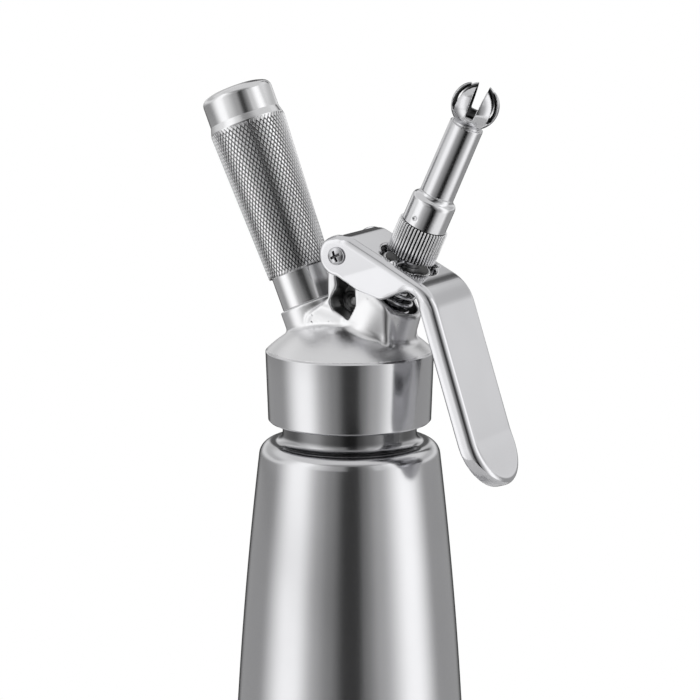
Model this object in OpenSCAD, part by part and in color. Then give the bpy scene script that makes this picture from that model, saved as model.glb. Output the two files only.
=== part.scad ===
// Whipped cream dispenser, one litre class: a steel bottle, a screwed-on cast head with a side
// lever, a tilted gas charger holder and a tilted valve that carries the nozzle.
// Millimetres. Z is up from the centre of the bottle's base, X points to the lever and nozzle.

/* [Bottle] */
// Radius of the bottle at its base
body_r = 45.3; // [42:0.1:48]
// Radius of the long curve that draws the wall in towards the shoulder
body_arc_r = 1700; // [1500:10:2200]
// Height of the shoulder's flat top
shoulder_z = 204.3; // [180:0.1:230]
// Rounding between the wall and the shoulder
shoulder_round = 5.3; // [4:0.1:6]
// Rounding at the foot of the bottle
base_round = 5; // [3:0.5:8]
// Thickness of the drawn steel wall
bottle_wall = 1.2; // [0.8:0.1:2]
// Outer radius of the plain neck
neck_r = 24.8; // [24:0.1:25.4]
// Thickness of the neck's wall
neck_wall = 2.2; // [1.6:0.1:3]
// Concave rounding from the neck to the shoulder
neck_fillet = 3.2; // [2:0.1:3.4]
// How far the neck's threaded band stands out of the plain neck
thread_step = 1.7; // [1.4:0.1:2]
// Height of bare neck between the shoulder and the head's skirt
neck_gap = 7.7; // [6:0.1:10]
// Height of neck that the head's skirt covers
neck_in_head = 18.5; // [16:0.5:20]

/* [Head] */
// Outer radius of the skirt at its lower edge
skirt_r = 30.1; // [29.6:0.1:31]
// Outer radius of the skirt at its upper edge
skirt_top_r = 31; // [30.5:0.1:32]
// Height of the skirt
skirt_h = 26; // [25:0.5:28]
// Radius of the domed top
dome_r = 44; // [42:0.5:48]
// Thickness of the sealing ring between head and bottle
gasket_t = 2.2; // [1.6:0.1:2.6]
// Inner radius of the sealing ring
gasket_inner_r = 20.5; // [19:0.5:21.5]
// Half width of the cast block that carries the lever
block_half_w = 12; // [11.5:0.1:12.5]
// Rounding of the block's free upright edges
block_edge_round = 2; // [1:0.5:3]
// Fillet where the block's sides run into the dome
block_fillet = 3; // [2:0.5:4]
// Where the block ends towards the nozzle side
block_front_x = 22.4; // [21:0.1:23]
// Depth of the pocket in each side of the block
pocket_depth = 9.5; // [7:0.5:10]
// Radius of the stepped hole in the web between the pockets
web_hole_r = 1.5; // [1:0.1:2]

/* [Lever] */
// Distance of the lever's pivot from the bottle's axis
pivot_x = 3; // [2:0.1:4]
// Height of the pivot above the skirt's lower edge
pivot_h = 63.25; // [62:0.25:64.5]
// Radius of the post's round top below the pivot
post_r = 5.8; // [5.5:0.1:6.4]
// Radius of the lever's round ears
ear_r = 7.4; // [7:0.1:8]
// Thickness of each lever arm
arm_t = 3; // [2.6:0.1:3.4]
// Side gap between a lever arm and the block
arm_gap = 0.42; // [0.35:0.01:0.6]
// Distance from the pivot to the paddle's outer face
paddle_reach = 31.8; // [31:0.1:33]
// Lean of the paddle away from upright
paddle_lean = 18.1; // [15:0.1:20]
// Thickness of the paddle
paddle_t = 3.8; // [3.2:0.1:4.2]
// Length of the paddle below the pivot's level, along the paddle
paddle_len = 95.7; // [85:0.1:105]
// Fall of the arm's upper edge towards the paddle
arm_fall = 27.1; // [25:0.1:29]
// How far the arm's upper edge passes above the round ear
arm_lip = 0.8; // [0.5:0.1:1.2]
// Outer bend radius between arm and paddle
bend_r = 16; // [12:0.5:18]
// Radius of each prong that pushes the stem's nut
prong_r = 1.15; // [1:0.05:1.25]
// Room between a prong and the stem
prong_stem_gap = 0.9; // [0.6:0.1:1.4]
// Radius of the shoulder that each ear turns on
pivot_pin_r = 2.5; // [2.3:0.1:2.8]
// Radius of the pivot screw's domed head
screw_head_r = 3.3; // [3:0.1:3.6]
// Height of that head at its middle
screw_head_h = 1.7; // [1.4:0.1:2]
// Threaded length of the pivot screw in the post
pivot_thread_len = 6; // [5:0.5:8]

/* [Valve] */
// Where the valve's axis crosses the level of the skirt's upper edge
valve_x = 8; // [7.5:0.1:8.5]
// Tilt of the valve's axis towards the lever
valve_tilt = 24.7; // [24:0.1:25.5]
// Height of the valve tower along its own axis
tower_len = 22.2; // [21.5:0.1:23]
// Radius of the tower at its rim
tower_r = 12; // [11.8:0.1:12.4]
// Draft of the tower, as growth of radius for each millimetre of height
tower_draft = 0.13; // [0.08:0.01:0.16]
// Radius of the spring's chamber in the tower
chamber_r = 9.9; // [9.6:0.1:10.1]
// Level of the chamber's floor along the valve's axis
chamber_floor = 10.5; // [9.5:0.5:11.5]
// Radius of the sliding stem
stem_r = 4.4; // [4.2:0.1:4.6]
// Radius of the cream passage in the stem
stem_bore_r = 2.8; // [2.4:0.1:3]
// Running clearance of the stem in the casting
stem_fit = 0.08; // [0.05:0.01:0.1]
// Level of the valve seat along the valve's axis
seat_l = -1.5; // [-2:0.1:-1]
// Radius of the stem's lower flange
flange_r = 7.3; // [7:0.1:7.6]
// Thickness of the seat's sealing ring
valve_seal_t = 2; // [1.5:0.1:2.4]
// Thickness of the stem's lower flange
flange_t = 2.5; // [2:0.1:3]
// Section radius of the stem's sealing rings
oring_r = 0.52; // [0.48:0.01:0.55]
// Radius of the knurled nut on the stem
nut_r = 9.3; // [9:0.1:9.4]
// Height of the nut
nut_h = 7.2; // [6.5:0.1:7.6]
// Rise of the nut's upper face above the pivot, measured along the valve's axis
nut_over_pivot = 5.95; // [5.6:0.05:6.2]
// Play between the lever's prongs and the nut
prong_play = 0.3; // [0.25:0.05:0.4]
// Play between the lever's prongs and the collar
collar_play = 0.5; // [0.4:0.05:0.7]

/* [Valve spring] */
// Mean radius of the spring
spring_r = 7.2; // [7:0.1:7.4]
// Radius of the spring wire
wire_r = 0.7; // [0.6:0.05:0.8]
// Gap wanted between its turns at rest, which sets how many turns it has
turn_gap = 1; // [0.8:0.1:1.4]

/* [Nozzle] */
// Radius of the knurled collar
collar_r = 9.18; // [8.9:0.01:9.4]
// Height of the collar
collar_h = 13; // [12:0.5:14]
// Radius of the adapter's wide tube
adapter_r = 8.25; // [8:0.05:8.4]
// Length of the wide tube above the collar
adapter_rise = 9.7; // [9:0.1:12]
// Height of the soft shoulder that ends the wide tube
adapter_shoulder = 2.6; // [2.2:0.1:3.2]
// Depth of the thread socket that takes the stem
socket_depth = 9.2; // [8:0.1:10]
// Outer radius of the tip's tube at its lower end
tip_r = 6.35; // [6.2:0.05:6.5]
// Outer radius of the tip's tube at its upper end
tip_end_r = 6.2; // [6:0.05:6.3]
// Radius of the short neck between tube and ball
ball_neck_r = 5.1; // [5:0.1:5.4]
// Length of that neck
ball_neck_len = 0.9; // [0.6:0.1:1.2]
// Radius of the cream passage in the tip
tip_bore_r = 4.3; // [4:0.1:4.5]
// Radius of the tip's threaded spigot
spigot_r = 5; // [4.8:0.1:5.2]
// Length of that spigot
spigot_len = 9; // [8:0.5:10]
// Height of the ball's centre above the wide tube's cone
ball_rise = 35.5; // [33:0.5:38]
// Outer radius of the slotted ball
ball_r = 8.6; // [8.3:0.1:8.8]
// Wall of the slotted ball
ball_wall = 1.5; // [1.2:0.1:1.8]
// Number of slots in the ball
slot_count = 6; // [5:1:8]
// Width of a slot at its foot
slot_foot_w = 2.8; // [2.4:0.1:3]
// Width of a slot at the ball's mouth
slot_mouth_w = 4.2; // [4:0.1:4.4]
// How far a slot's foot lies below the ball's centre
slot_foot_drop = 3.3; // [2.5:0.1:3.6]
// Turn of the slots about the valve's axis, as the nozzle stops when it is screwed tight
slot_turn = -10.5; // [-30:0.5:30]

/* [Gas charging] */
// Where the charger's axis crosses the level of the skirt's upper edge
port_x = -9.2; // [-9.6:0.1:-8.8]
// Tilt of the charger's axis away from the lever
port_tilt = 22.6; // [22:0.1:23.5]
// Radius of the casting's port boss
boss_r = 12; // [11.6:0.1:12.4]
// Height of the port boss along the charger's axis
boss_len = 18; // [17.5:0.1:18.5]
// Radius of the threaded inlet that the holder screws on
inlet_r = 9.3; // [9.25:0.01:9.35]
// Height of that inlet above the boss
inlet_h = 12; // [11:0.5:13]
// Running clearance between inlet and holder
holder_fit = 0.08; // [0.05:0.01:0.1]
// Radius of the holder's smooth lower ring
ring_r = 10.8; // [10.6:0.1:11.2]
// Height of the smooth ring
ring_h = 12.7; // [12:0.1:13.5]
// Radius of the holder's grip at its lower end
grip_r = 11.95; // [11.7:0.05:12.3]
// Radius of the holder's grip at its upper end
grip_top_r = 14.3; // [14:0.1:14.8]
// Length of the grip
grip_h = 57.6; // [56:0.1:60]
// Height of the bevel between grip and cap
cap_bevel = 2.5; // [2:0.1:3]
// Radius of the holder's cap
cap_r = 13.3; // [12.9:0.1:13.6]
// Height of the cap above the bevel
cap_h = 9.1; // [8:0.1:10]
// Thickness of the metal that closes the holder
holder_end_t = 7.4; // [5:0.1:8]
// Radius of the gas charger
charger_r = 8.9; // [8.8:0.05:9.05]
// Length of the gas charger
charger_len = 65.5; // [64.5:0.1:66]
// Radius of the charger's neck
charger_neck_r = 4.3; // [4.1:0.1:4.4]
// Wall of the charger
charger_wall = 1.5; // [1.2:0.1:1.8]

/* [Hidden] */
$fn = 96;
eps = 0.01;

// Levels up the bottle's axis
skirt_z = shoulder_z + neck_gap;
skirt_top_z = skirt_z + skirt_h;
rim_z = skirt_z + neck_in_head;
gasket_top_z = rim_z + gasket_t;
dome_z = skirt_top_z - sqrt(dome_r * dome_r - skirt_top_r * skirt_top_r);
ceiling_z = skirt_top_z - 2;
pivot_z = skirt_z + pivot_h;

// Neck and skirt fit
thread_r = neck_r + thread_step;
skirt_fit = 0.1;
skirt_bore_r = thread_r + skirt_fit;
thread_band = [2.5, 4];
neck_bore_r = neck_r - neck_wall;

// Levels along the valve's axis
valve_seal_l = seat_l - valve_seal_t;
flange_l = valve_seal_l - flange_t;
pivot_l = (pivot_x - valve_x) * sin(valve_tilt) + (pivot_z - skirt_top_z) * cos(valve_tilt);
nut_top_l = pivot_l + nut_over_pivot;
nut_l = nut_top_l - nut_h;
prong_l = nut_top_l + prong_play + prong_r;
collar_l = prong_l + prong_r + collar_play;
collar_top_l = collar_l + collar_h;
adapter_top_l = collar_top_l + adapter_rise + adapter_shoulder;
socket_top_l = collar_l + socket_depth;
washer_t = 1;
stem_top_l = socket_top_l - washer_t;
ball_l = adapter_top_l + ball_rise;
oring_levels = [3.4, 7];
groove_w = 2 * oring_r + 0.2;
groove_r = stem_r - 2 * oring_r + 0.06;
cross_port_l = 0.6;
cross_port_r = 1.5;

// Levels along the charger's axis
inlet_top_l = boss_len + inlet_h;
ring_top_l = boss_len + ring_h;
grip_top_l = ring_top_l + grip_h;
holder_top_l = grip_top_l + cap_bevel + cap_h;
holder_bore_r = inlet_r + holder_fit;
holder_floor_l = holder_top_l - holder_end_t;
charger_end_gap = 0.3;
charger_tip_l = holder_floor_l - charger_end_gap - charger_len;
charger_neck_len = 8;
charger_shoulder_len = 7;
charger_mouth_r = 1.6;
inlet_socket_r = charger_neck_r + 0.4;
pin_disc_t = 1.6;
pin_seal_t = 1.8;
strainer_t = 0.6;
pin_seal_l = charger_tip_l - pin_seal_t - 0.1;
pin_disc_l = pin_seal_l - pin_disc_t;
strainer_l = pin_disc_l - strainer_t;
needle_r = 0.9;
needle_len = 4;
gas_way_r = 1.5;
inlet_stud_r = 7;
inlet_foot_l = 5;
disc_play = 0.05;

// Lever. The arm's upper edge passes over the ear, and over the prongs' axis if that is higher
arm_in = block_half_w + arm_gap;
arm_out = arm_in + arm_t;
ear_fit = 0.05;
prong_x = valve_x + prong_l * sin(valve_tilt) - pivot_x;
prong_z = skirt_top_z + prong_l * cos(valve_tilt) - pivot_z;
arm_rise = max(ear_r + arm_lip, prong_x * sin(arm_fall) + prong_z * cos(arm_fall));

// Places a child on the valve's axis, its Z along the axis
module on_valve() {
    translate([valve_x, 0, skirt_top_z]) rotate([0, valve_tilt, 0]) children();
}

// Places a child on the charger's axis, its Z along the axis
module on_port() {
    translate([port_x, 0, skirt_top_z]) rotate([0, -port_tilt, 0]) children();
}

// A round piece on its own Z from level a to level b
module disc(r, a, b) {
    translate([0, 0, a]) cylinder(r = r, h = b - a);
}

// A washer or sleeve on its own Z from level a to level b
module sleeve(r_out, r_in, a, b) {
    difference() {
        disc(r_out, a, b);
        disc(r_in, a - 1, b + 1);
    }
}

// An upright outline in X and Z, extruded to both sides of the middle plane
module side_profile(points, half_w) {
    rotate([90, 0, 0]) linear_extrude(height = 2 * half_w, center = true) polygon(points);
}

// Points of an arc about c, from angle a to angle b in n steps
function arc(c, r, a, b, n) =
    [for (i = [0:n]) let (t = a + (b - a) * i / n) c + r * [cos(t), sin(t)]];

function unit(v) = v / norm(v);

// The points that round the corner p between its neighbours a and b
function corner(a, p, b, r, n) =
    let (
        u = unit(a - p),
        v = unit(b - p),
        half = acos(u * v) / 2,
        c = p + unit(u + v) * r / sin(half),
        from = p + u * r / tan(half) - c,
        to = p + v * r / tan(half) - c,
        a0 = atan2(from.y, from.x),
        turn = atan2(from.x * to.y - from.y * to.x, from * to)
    )
    arc(c, r, a0, a0 + turn, n);

// An outline whose corners [x, y, rounding] are all rounded, or kept sharp at 0
function rounded(corners, n = 6) =
    let (last = len(corners) - 1, xy = [for (q = corners) [q.x, q.y]])
    [for (i = [0:last])
        each corners[i][2] == 0
            ? [xy[i]]
            : corner(xy[i == 0 ? last : i - 1], xy[i], xy[i == last ? 0 : i + 1],
                corners[i][2], n)];

// ---- Bottle ----

// Radius of the bottle's long curved wall at height z
function wall_r(z) = body_r - body_arc_r + sqrt(body_arc_r * body_arc_r - z * z);

module bottle() {
    lean = asin((shoulder_z - shoulder_round) / body_arc_r);
    side_z = shoulder_z - shoulder_round;
    round_c = [wall_r(side_z) - shoulder_round / cos(lean), side_z];
    base_c = [wall_r(base_round) - base_round, base_round];
    fillet_c = [neck_r + neck_fillet, shoulder_z + neck_fillet];
    wall_steps = 16;
    outer = concat(
        [[0, 0]],
        arc(base_c, base_round, -90, 0, 6),
        [for (i = [1:wall_steps]) let (z = base_round + (side_z - base_round) * i / wall_steps)
            [wall_r(z), z]],
        arc(round_c, shoulder_round, lean + 12, 90, 6),
        arc(fillet_c, neck_fillet, 270, 180, 6),
        [[neck_r, skirt_z + thread_band[0]],
         [thread_r, skirt_z + thread_band[1]],
         [thread_r, rim_z - 2],
         [thread_r - 1, rim_z],
         [neck_bore_r, rim_z],
         [0, rim_z]]);
    inner_round = shoulder_round - bottle_wall;
    inner_base = base_round - bottle_wall;
    inner = concat(
        [[0, bottle_wall]],
        arc(base_c, inner_base, -90, 0, 5),
        [for (i = [1:wall_steps]) let (z = base_round + (side_z - base_round) * i / wall_steps)
            [wall_r(z) - bottle_wall, z]],
        arc(round_c, inner_round, lean + 12, 90, 5),
        [[neck_bore_r, shoulder_z - bottle_wall],
         [neck_bore_r, rim_z + 1],
         [0, rim_z + 1]]);
    color("silver") difference() {
        rotate_extrude() polygon(outer);
        rotate_extrude() polygon(inner);
    }
}

module head_gasket() {
    color("dimgray") sleeve(thread_r - 0.2, gasket_inner_r, rim_z, gasket_top_z);
}

// ---- Head casting ----

// The domed cap with its skirt, hollow below
module head_shell() {
    rim_angle = asin(skirt_top_r / dome_r);
    difference() {
        rotate_extrude() polygon(concat(
            [[0, skirt_z], [skirt_r - 0.6, skirt_z], [skirt_r, skirt_z + 0.6],
             [skirt_top_r, skirt_top_z - 0.4]],
            arc([0, dome_z], dome_r, 90 - rim_angle, 90, 14)));
        disc(skirt_bore_r, skirt_z - 1, gasket_top_z);
        disc(gasket_inner_r, skirt_z, ceiling_z);
        translate([0, 0, skirt_z - eps])
            cylinder(r1 = skirt_bore_r + 1, r2 = skirt_bore_r, h = 1);
    }
}

// The block that joins the port boss, the pivot post and the tower, seen from the side
function block_outline() =
    let (
        post_left = pivot_x - post_r,
        post_right = pivot_x + post_r,
        front_top = pivot_z - 19.35
    )
    concat(
        arc([pivot_x, pivot_z], post_r, 180, 0, 14),
        rounded([
            [post_right, pivot_z - 5.85, 3],
            [block_front_x + 0.6, front_top, 1.2],
            [block_front_x - 1, skirt_z + 27, 0],
            [port_x - 6, skirt_z + 27, 0],
            [post_left - 8.5, pivot_z - 23.25, 0],
            [post_left, pivot_z - 16.25, 1.5]]));

// The same block from above, with rounded front edges
module block_plan() {
    w = block_half_w;
    linear_extrude(height = 100) polygon(rounded([
        [port_x - 12, -w, 0], [block_front_x + 0.6, -w, block_edge_round],
        [block_front_x + 0.6, w, block_edge_round], [port_x - 12, w, 0]]));
}

// The ring that fillets a flat side of the block into the dome, swept about the dome's centre
module block_side_fillet() {
    f = block_fillet;
    w = block_half_w;
    c = [sqrt((dome_r + f) * (dome_r + f) - (w + f) * (w + f)), w + f];
    foot_angle = atan2(c.y, c.x);
    sunk = dome_r - 2;
    fillet_arc = arc(c, f, 270, 180 + foot_angle, 6);
    sunk_side = [sqrt(sunk * sunk - w * w), w];
    sunk_foot = sunk * [cos(foot_angle), sin(foot_angle)];
    from = 62;
    to = 103;
    translate([0, 0, dome_z]) rotate([-90, 0, 0]) rotate([0, 0, -to])
        rotate_extrude(angle = to - from)
            polygon(concat([sunk_side], fillet_arc, [sunk_foot]));
}

// Outline of the pocket that lightens each side of the block, hung below the pivot
function pocket_outline() =
    [for (q = rounded([
        [-2.6, -6.65, 1.5], [-1.9, -11.85, 4], [-4.9, -17.05, 3], [-4, -20.45, 2.2],
        [2.7, -23.95, 0.8], [5.6, -18.45, 2], [5.2, -6.65, 1.5]], 5)) q + [pivot_x, pivot_z]];

module side_pocket() {
    web = block_half_w - pocket_depth;
    rotate([90, 0, 0]) translate([0, 0, web]) linear_extrude(height = pocket_depth + 1)
        polygon(pocket_outline());
    translate([pivot_x - 0.8, -web, pivot_z - 18.65]) rotate([90, 0, 0]) {
        disc(web_hole_r + 2.3, -0.7, 1);
        disc(web_hole_r + 1.2, -1.4, 1);
        disc(web_hole_r, -web - 1, 1);
    }
}

// The shallow cast hollow below the pocket
module side_hollow() {
    r = 2.9;
    depth = 0.8;
    span = 10.4;
    translate([pivot_x - 10.4, -block_half_w - r + depth, pivot_z - 19.85]) rotate([0, 106, 0])
        rotate_extrude() polygon(concat(
            arc([0, 0], r, -90, 0, 6),
            arc([0, span], r, 0, 90, 6)));
}

// The tower round the valve, drafted and flared into the dome
module tower() {
    foot_l = 2;
    flare_l = 15;
    flare_r = 5;
    foot_r = tower_r + tower_draft * (tower_len - flare_l);
    top_round = 1.6;
    rotate_extrude() polygon(concat(
        [[0, foot_l], [foot_r + flare_r * 0.6, foot_l + 5.5]],
        arc([foot_r + flare_r, flare_l], flare_r, 235, 180, 5),
        arc([tower_r - top_round, tower_len - top_round], top_round, 0, 90, 5),
        [[0, tower_len]]));
}

module head_casting() {
    color("lightgray") difference() {
        union() {
            head_shell();
            intersection() {
                side_profile(block_outline(), block_half_w);
                translate([0, 0, skirt_z]) block_plan();
            }
            block_side_fillet();
            mirror([0, 1, 0]) block_side_fillet();
            on_valve() tower();
            on_port() disc(boss_r, -3, boss_len);
        }
        // Room for the bottle and the cream below the ceiling
        disc(gasket_inner_r, skirt_z, ceiling_z);
        // Seat, stem bore and spring chamber on the valve's axis
        on_valve() {
            disc(flange_r + 1.2, seat_l - 14, seat_l);
            disc(stem_r + stem_fit, seat_l - 1, chamber_floor + 1);
            disc(chamber_r, chamber_floor, tower_len + 30);
        }
        // Socket for the gas inlet and its way down to the bottle
        on_port() {
            disc(inlet_stud_r + disc_play, inlet_foot_l, boss_len + 1);
            disc(gas_way_r, -8, inlet_foot_l + 1);
        }
        for (side = [0, 1]) mirror([0, side, 0]) {
            side_pocket();
            side_hollow();
            translate([pivot_x, -block_half_w - 1, pivot_z]) rotate([-90, 0, 0])
                cylinder(r = 2 + disc_play, h = pivot_thread_len + 2);
        }
    }
}

// ---- Gas charging ----

module gas_inlet() {
    color("gainsboro") on_port() difference() {
        union() {
            disc(inlet_stud_r, inlet_foot_l, boss_len);
            disc(inlet_r, boss_len, inlet_top_l - 0.8);
            translate([0, 0, inlet_top_l - 0.8])
                cylinder(r1 = inlet_r, r2 = inlet_r - 0.8, h = 0.8);
        }
        disc(gas_way_r, inlet_foot_l - 1, strainer_l + 1);
        disc(inlet_socket_r, strainer_l, inlet_top_l + 1);
    }
}

module inlet_strainer() {
    hole_ring_r = 2.4;
    color("goldenrod") on_port() difference() {
        disc(inlet_socket_r - disc_play, strainer_l, strainer_l + strainer_t);
        for (i = [0:7]) rotate([0, 0, i * 45]) translate([hole_ring_r, 0, 0])
            disc(0.35, strainer_l - 1, strainer_l + strainer_t + 1);
    }
}

module piercing_pin() {
    tip_h = 1.2;
    top_l = pin_disc_l + pin_disc_t + pin_seal_t + needle_len - tip_h;
    color("silver") on_port() difference() {
        union() {
            disc(inlet_socket_r - disc_play, pin_disc_l, pin_disc_l + pin_disc_t);
            disc(needle_r, pin_disc_l, top_l);
            translate([0, 0, top_l]) cylinder(r1 = needle_r, r2 = 0.15, h = tip_h);
        }
        for (i = [0:2]) rotate([0, 0, i * 120]) translate([2.4, 0, 0])
            disc(0.5, pin_disc_l - 1, pin_disc_l + pin_disc_t + 1);
    }
}

module pin_seal() {
    color("white") on_port()
        sleeve(inlet_socket_r - disc_play, needle_r + 0.4, pin_seal_l, pin_seal_l + pin_seal_t);
}

// A rubber mushroom below the ceiling that lets gas in and nothing back
module check_valve() {
    gas_x = port_x + tan(port_tilt) * (skirt_top_z - ceiling_z);
    color("firebrick") translate([gas_x, 0, ceiling_z]) rotate_extrude() polygon(concat(
        [[0, -2.4]],
        arc([0, -2.4 + 3], 3, -90, -40, 4),
        [[3.6, -0.9], [3.6, -0.1], [0.9, -0.1], [0.9, 1.6], [0, 1.6]]));
}

module gas_charger() {
    neck_l = charger_tip_l + charger_neck_len;
    shoulder_l = neck_l + charger_shoulder_len;
    end_c = [0, charger_tip_l + charger_len - charger_r];
    w = charger_wall;
    color("lightsteelblue") on_port() difference() {
        rotate_extrude() polygon(concat(
            [[0, charger_tip_l], [charger_neck_r - 0.5, charger_tip_l],
             [charger_neck_r, charger_tip_l + 0.5], [charger_neck_r, neck_l - 1],
             [charger_neck_r + 1.4, neck_l + 0.6], [charger_r - 1, shoulder_l - 2.4],
             [charger_r, shoulder_l]],
            arc(end_c, charger_r, 0, 90, 10)));
        rotate_extrude() polygon(concat(
            [[0, charger_tip_l - 1], [charger_mouth_r, charger_tip_l - 1],
             [charger_mouth_r, neck_l], [charger_r - w - 1, shoulder_l - 1],
             [charger_r - w, shoulder_l + 0.6]],
            arc(end_c, charger_r - w, 0, 90, 8)));
    }
}

module charger_holder() {
    rim = 0.9;
    color("silver") on_port() difference() {
        rotate_extrude() polygon([
            [0, boss_len], [ring_r - 0.4, boss_len], [ring_r, boss_len + 0.4],
            [ring_r, ring_top_l], [grip_r - 0.3, ring_top_l], [grip_r, ring_top_l + 0.5],
            [grip_top_r, grip_top_l - 0.4], [grip_top_r - 0.2, grip_top_l],
            [cap_r, grip_top_l + cap_bevel], [cap_r, holder_top_l - rim],
            [cap_r - rim, holder_top_l], [0, holder_top_l]]);
        rotate_extrude() polygon(concat(
            [[0, boss_len - 1], [holder_bore_r + 0.6, boss_len - 1],
             [holder_bore_r, boss_len + 0.6]],
            arc([0, holder_floor_l - holder_bore_r], holder_bore_r, 0, 90, 10)));
    }
}

// ---- Lever ----

// Everything of the lever but the prongs is drawn in the paddle's frame: from the pivot,
// u square to the paddle and v up along it
function from_xz(x, z) =
    [x * cos(paddle_lean) + z * sin(paddle_lean), z * cos(paddle_lean) - x * sin(paddle_lean)];

// Side view of arm, bend and upper paddle
function arm_outline() =
    let (
        edge_angle = arm_fall + paddle_lean,
        top = arm_rise * [sin(edge_angle), cos(edge_angle)],
        bend_v = (arm_rise - paddle_reach * sin(edge_angle)) / cos(edge_angle),
        inner = paddle_reach - paddle_t,
        heel = from_xz(18.4, -14.8),
        throat = from_xz(7.8, -11.9)
    )
    rounded([
        [-ear_r * 0.5, -ear_r * 0.8, 0],
        [0, ear_r * 0.97, 0],
        [top.x, top.y, 6],
        [paddle_reach, bend_v, bend_r],
        [paddle_reach, arm_out - paddle_len, 0],
        [inner, arm_out - paddle_len, 0],
        [inner, -18.3, 6.5],
        [heel.x, heel.y, 4],
        [throat.x, throat.y, 5]], 8);

module lever() {
    inner = paddle_reach - paddle_t;
    end_v = -(paddle_len - arm_out);
    mouth_v = -17.5;
    apart = 60;
    prong_in = stem_r + prong_stem_gap;
    color("silver") difference() {
        union() {
            translate([pivot_x, 0, pivot_z]) rotate([0, -paddle_lean, 0]) {
                // Arms and paddle in one, parted above the mouth and inside the bend
                difference() {
                    side_profile(arm_outline(), arm_out);
                    translate([inner - apart, -arm_in, mouth_v])
                        cube([2 * apart, 2 * arm_in, apart]);
                    translate([inner - apart, -arm_in, 2 * mouth_v])
                        cube([apart, 2 * arm_in, apart]);
                }
                // Round ears
                for (side = [-1, 1]) translate([0, side * (arm_in + arm_t / 2), 0])
                    rotate([90, 0, 0]) cylinder(r = ear_r, h = arm_t, center = true);
                // Round end of the paddle
                translate([inner, 0, end_v]) rotate([0, 90, 0])
                    cylinder(r = arm_out, h = paddle_t);
            }
            // Prongs that reach in over the nut on both sides of the stem
            for (side = [0, 1]) mirror([0, side, 0]) on_valve()
                translate([0, -arm_in - 1, prong_l]) rotate([-90, 0, 0])
                    cylinder(r = prong_r, h = arm_in + 1 - prong_in);
        }
        translate([pivot_x, 0, pivot_z]) rotate([90, 0, 0])
            cylinder(r = pivot_pin_r + ear_fit, h = 3 * arm_out, center = true);
    }
}

module pivot_screws() {
    foot = arm_out + ear_fit;
    rise = 0.9;
    dome_foot = foot + screw_head_h - rise;
    cap_r = (screw_head_r * screw_head_r + rise * rise) / (2 * rise);
    cross_w = 0.8;
    cross_len = 4.4;
    cross_depth = 1.1;
    color("gray") for (side = [0, 1]) mirror([0, side, 0])
        translate([pivot_x, 0, pivot_z]) rotate([90, 0, 0]) difference() {
            union() {
                disc(2, block_half_w - pivot_thread_len, block_half_w);
                disc(pivot_pin_r, block_half_w, foot);
                rotate_extrude() polygon(concat(
                    [[0, foot], [screw_head_r, foot]],
                    arc([0, dome_foot + rise - cap_r], cap_r, acos(screw_head_r / cap_r), 90, 6)));
            }
            for (turn = [25, 115]) rotate([0, 0, turn])
                translate([-cross_len / 2, -cross_w / 2, foot + screw_head_h - cross_depth])
                    cube([cross_len, cross_w, 2]);
        }
}

// ---- Valve ----

module valve_stem() {
    color("silver") on_valve() difference() {
        union() {
            disc(flange_r, flange_l, valve_seal_l);
            disc(stem_r, flange_l, stem_top_l);
        }
        disc(stem_bore_r, cross_port_l - cross_port_r, stem_top_l + 1);
        for (turn = [0, 90]) rotate([90, 0, turn]) translate([0, cross_port_l, 0])
            cylinder(r = cross_port_r, h = 4 * stem_r, center = true);
        for (l = oring_levels)
            sleeve(stem_r + 1, groove_r, l - groove_w / 2, l + groove_w / 2);
    }
}

module valve_seal() {
    color("dimgray") on_valve()
        sleeve(flange_r, stem_r + disc_play, valve_seal_l, seat_l);
}

module stem_o_rings() {
    mid_r = groove_r + oring_r + 0.02;
    color("black") on_valve() for (l = oring_levels)
        translate([0, 0, l]) rotate_extrude() translate([mid_r, 0]) circle(r = oring_r, $fn = 32);
}

module stem_nut() {
    edge = 0.6;
    color("silver") on_valve() difference() {
        rotate_extrude() polygon([
            [0, nut_l], [nut_r - edge, nut_l], [nut_r, nut_l + edge],
            [nut_r, nut_top_l - edge], [nut_r - edge, nut_top_l], [0, nut_top_l]]);
        disc(stem_r + disc_play / 2, nut_l - 1, nut_top_l + 1);
    }
}

// The spring's centre line, unrolled: distance round the cylinder and height.
// Each end stands square on its seat for one wire diameter and then bends into the helix.
function spring_line() =
    let (
        bend = 2 * wire_r,
        straight = 2 * wire_r,
        height = nut_l - chamber_floor,
        rise = height - 2 * (bend + straight),
        turns = round(rise / (2 * wire_r + turn_gap)),
        around = turns * 2 * PI * spring_r,
        rings = turns * 8,
        foot = concat([[0, 0], [0, straight * 0.6]],
            [for (i = [0:4]) let (a = i * 18) [bend * (1 - cos(a)), straight + bend * sin(a)]])
    )
    concat(foot,
        [for (i = [1:rings - 1]) [bend + around * i / rings, straight + bend + rise * i / rings]],
        [for (i = [len(foot) - 1:-1:0]) [2 * bend + around, height] - foot[i]]);

function spring_point(q) =
    let (a = q.x / spring_r * 180 / PI) [spring_r * cos(a), spring_r * sin(a), q.y];

// The least distance between two turns' wire surfaces
function spring_gap(line) =
    let (p = [for (q = line) spring_point(q)], n = len(p))
    min([for (i = [0:n - 1]) for (j = [i + 5:1:n - 1])
        if (line[j].x - line[i].x > spring_r * 2) norm(p[j] - p[i])]) - 2 * wire_r;

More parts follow.
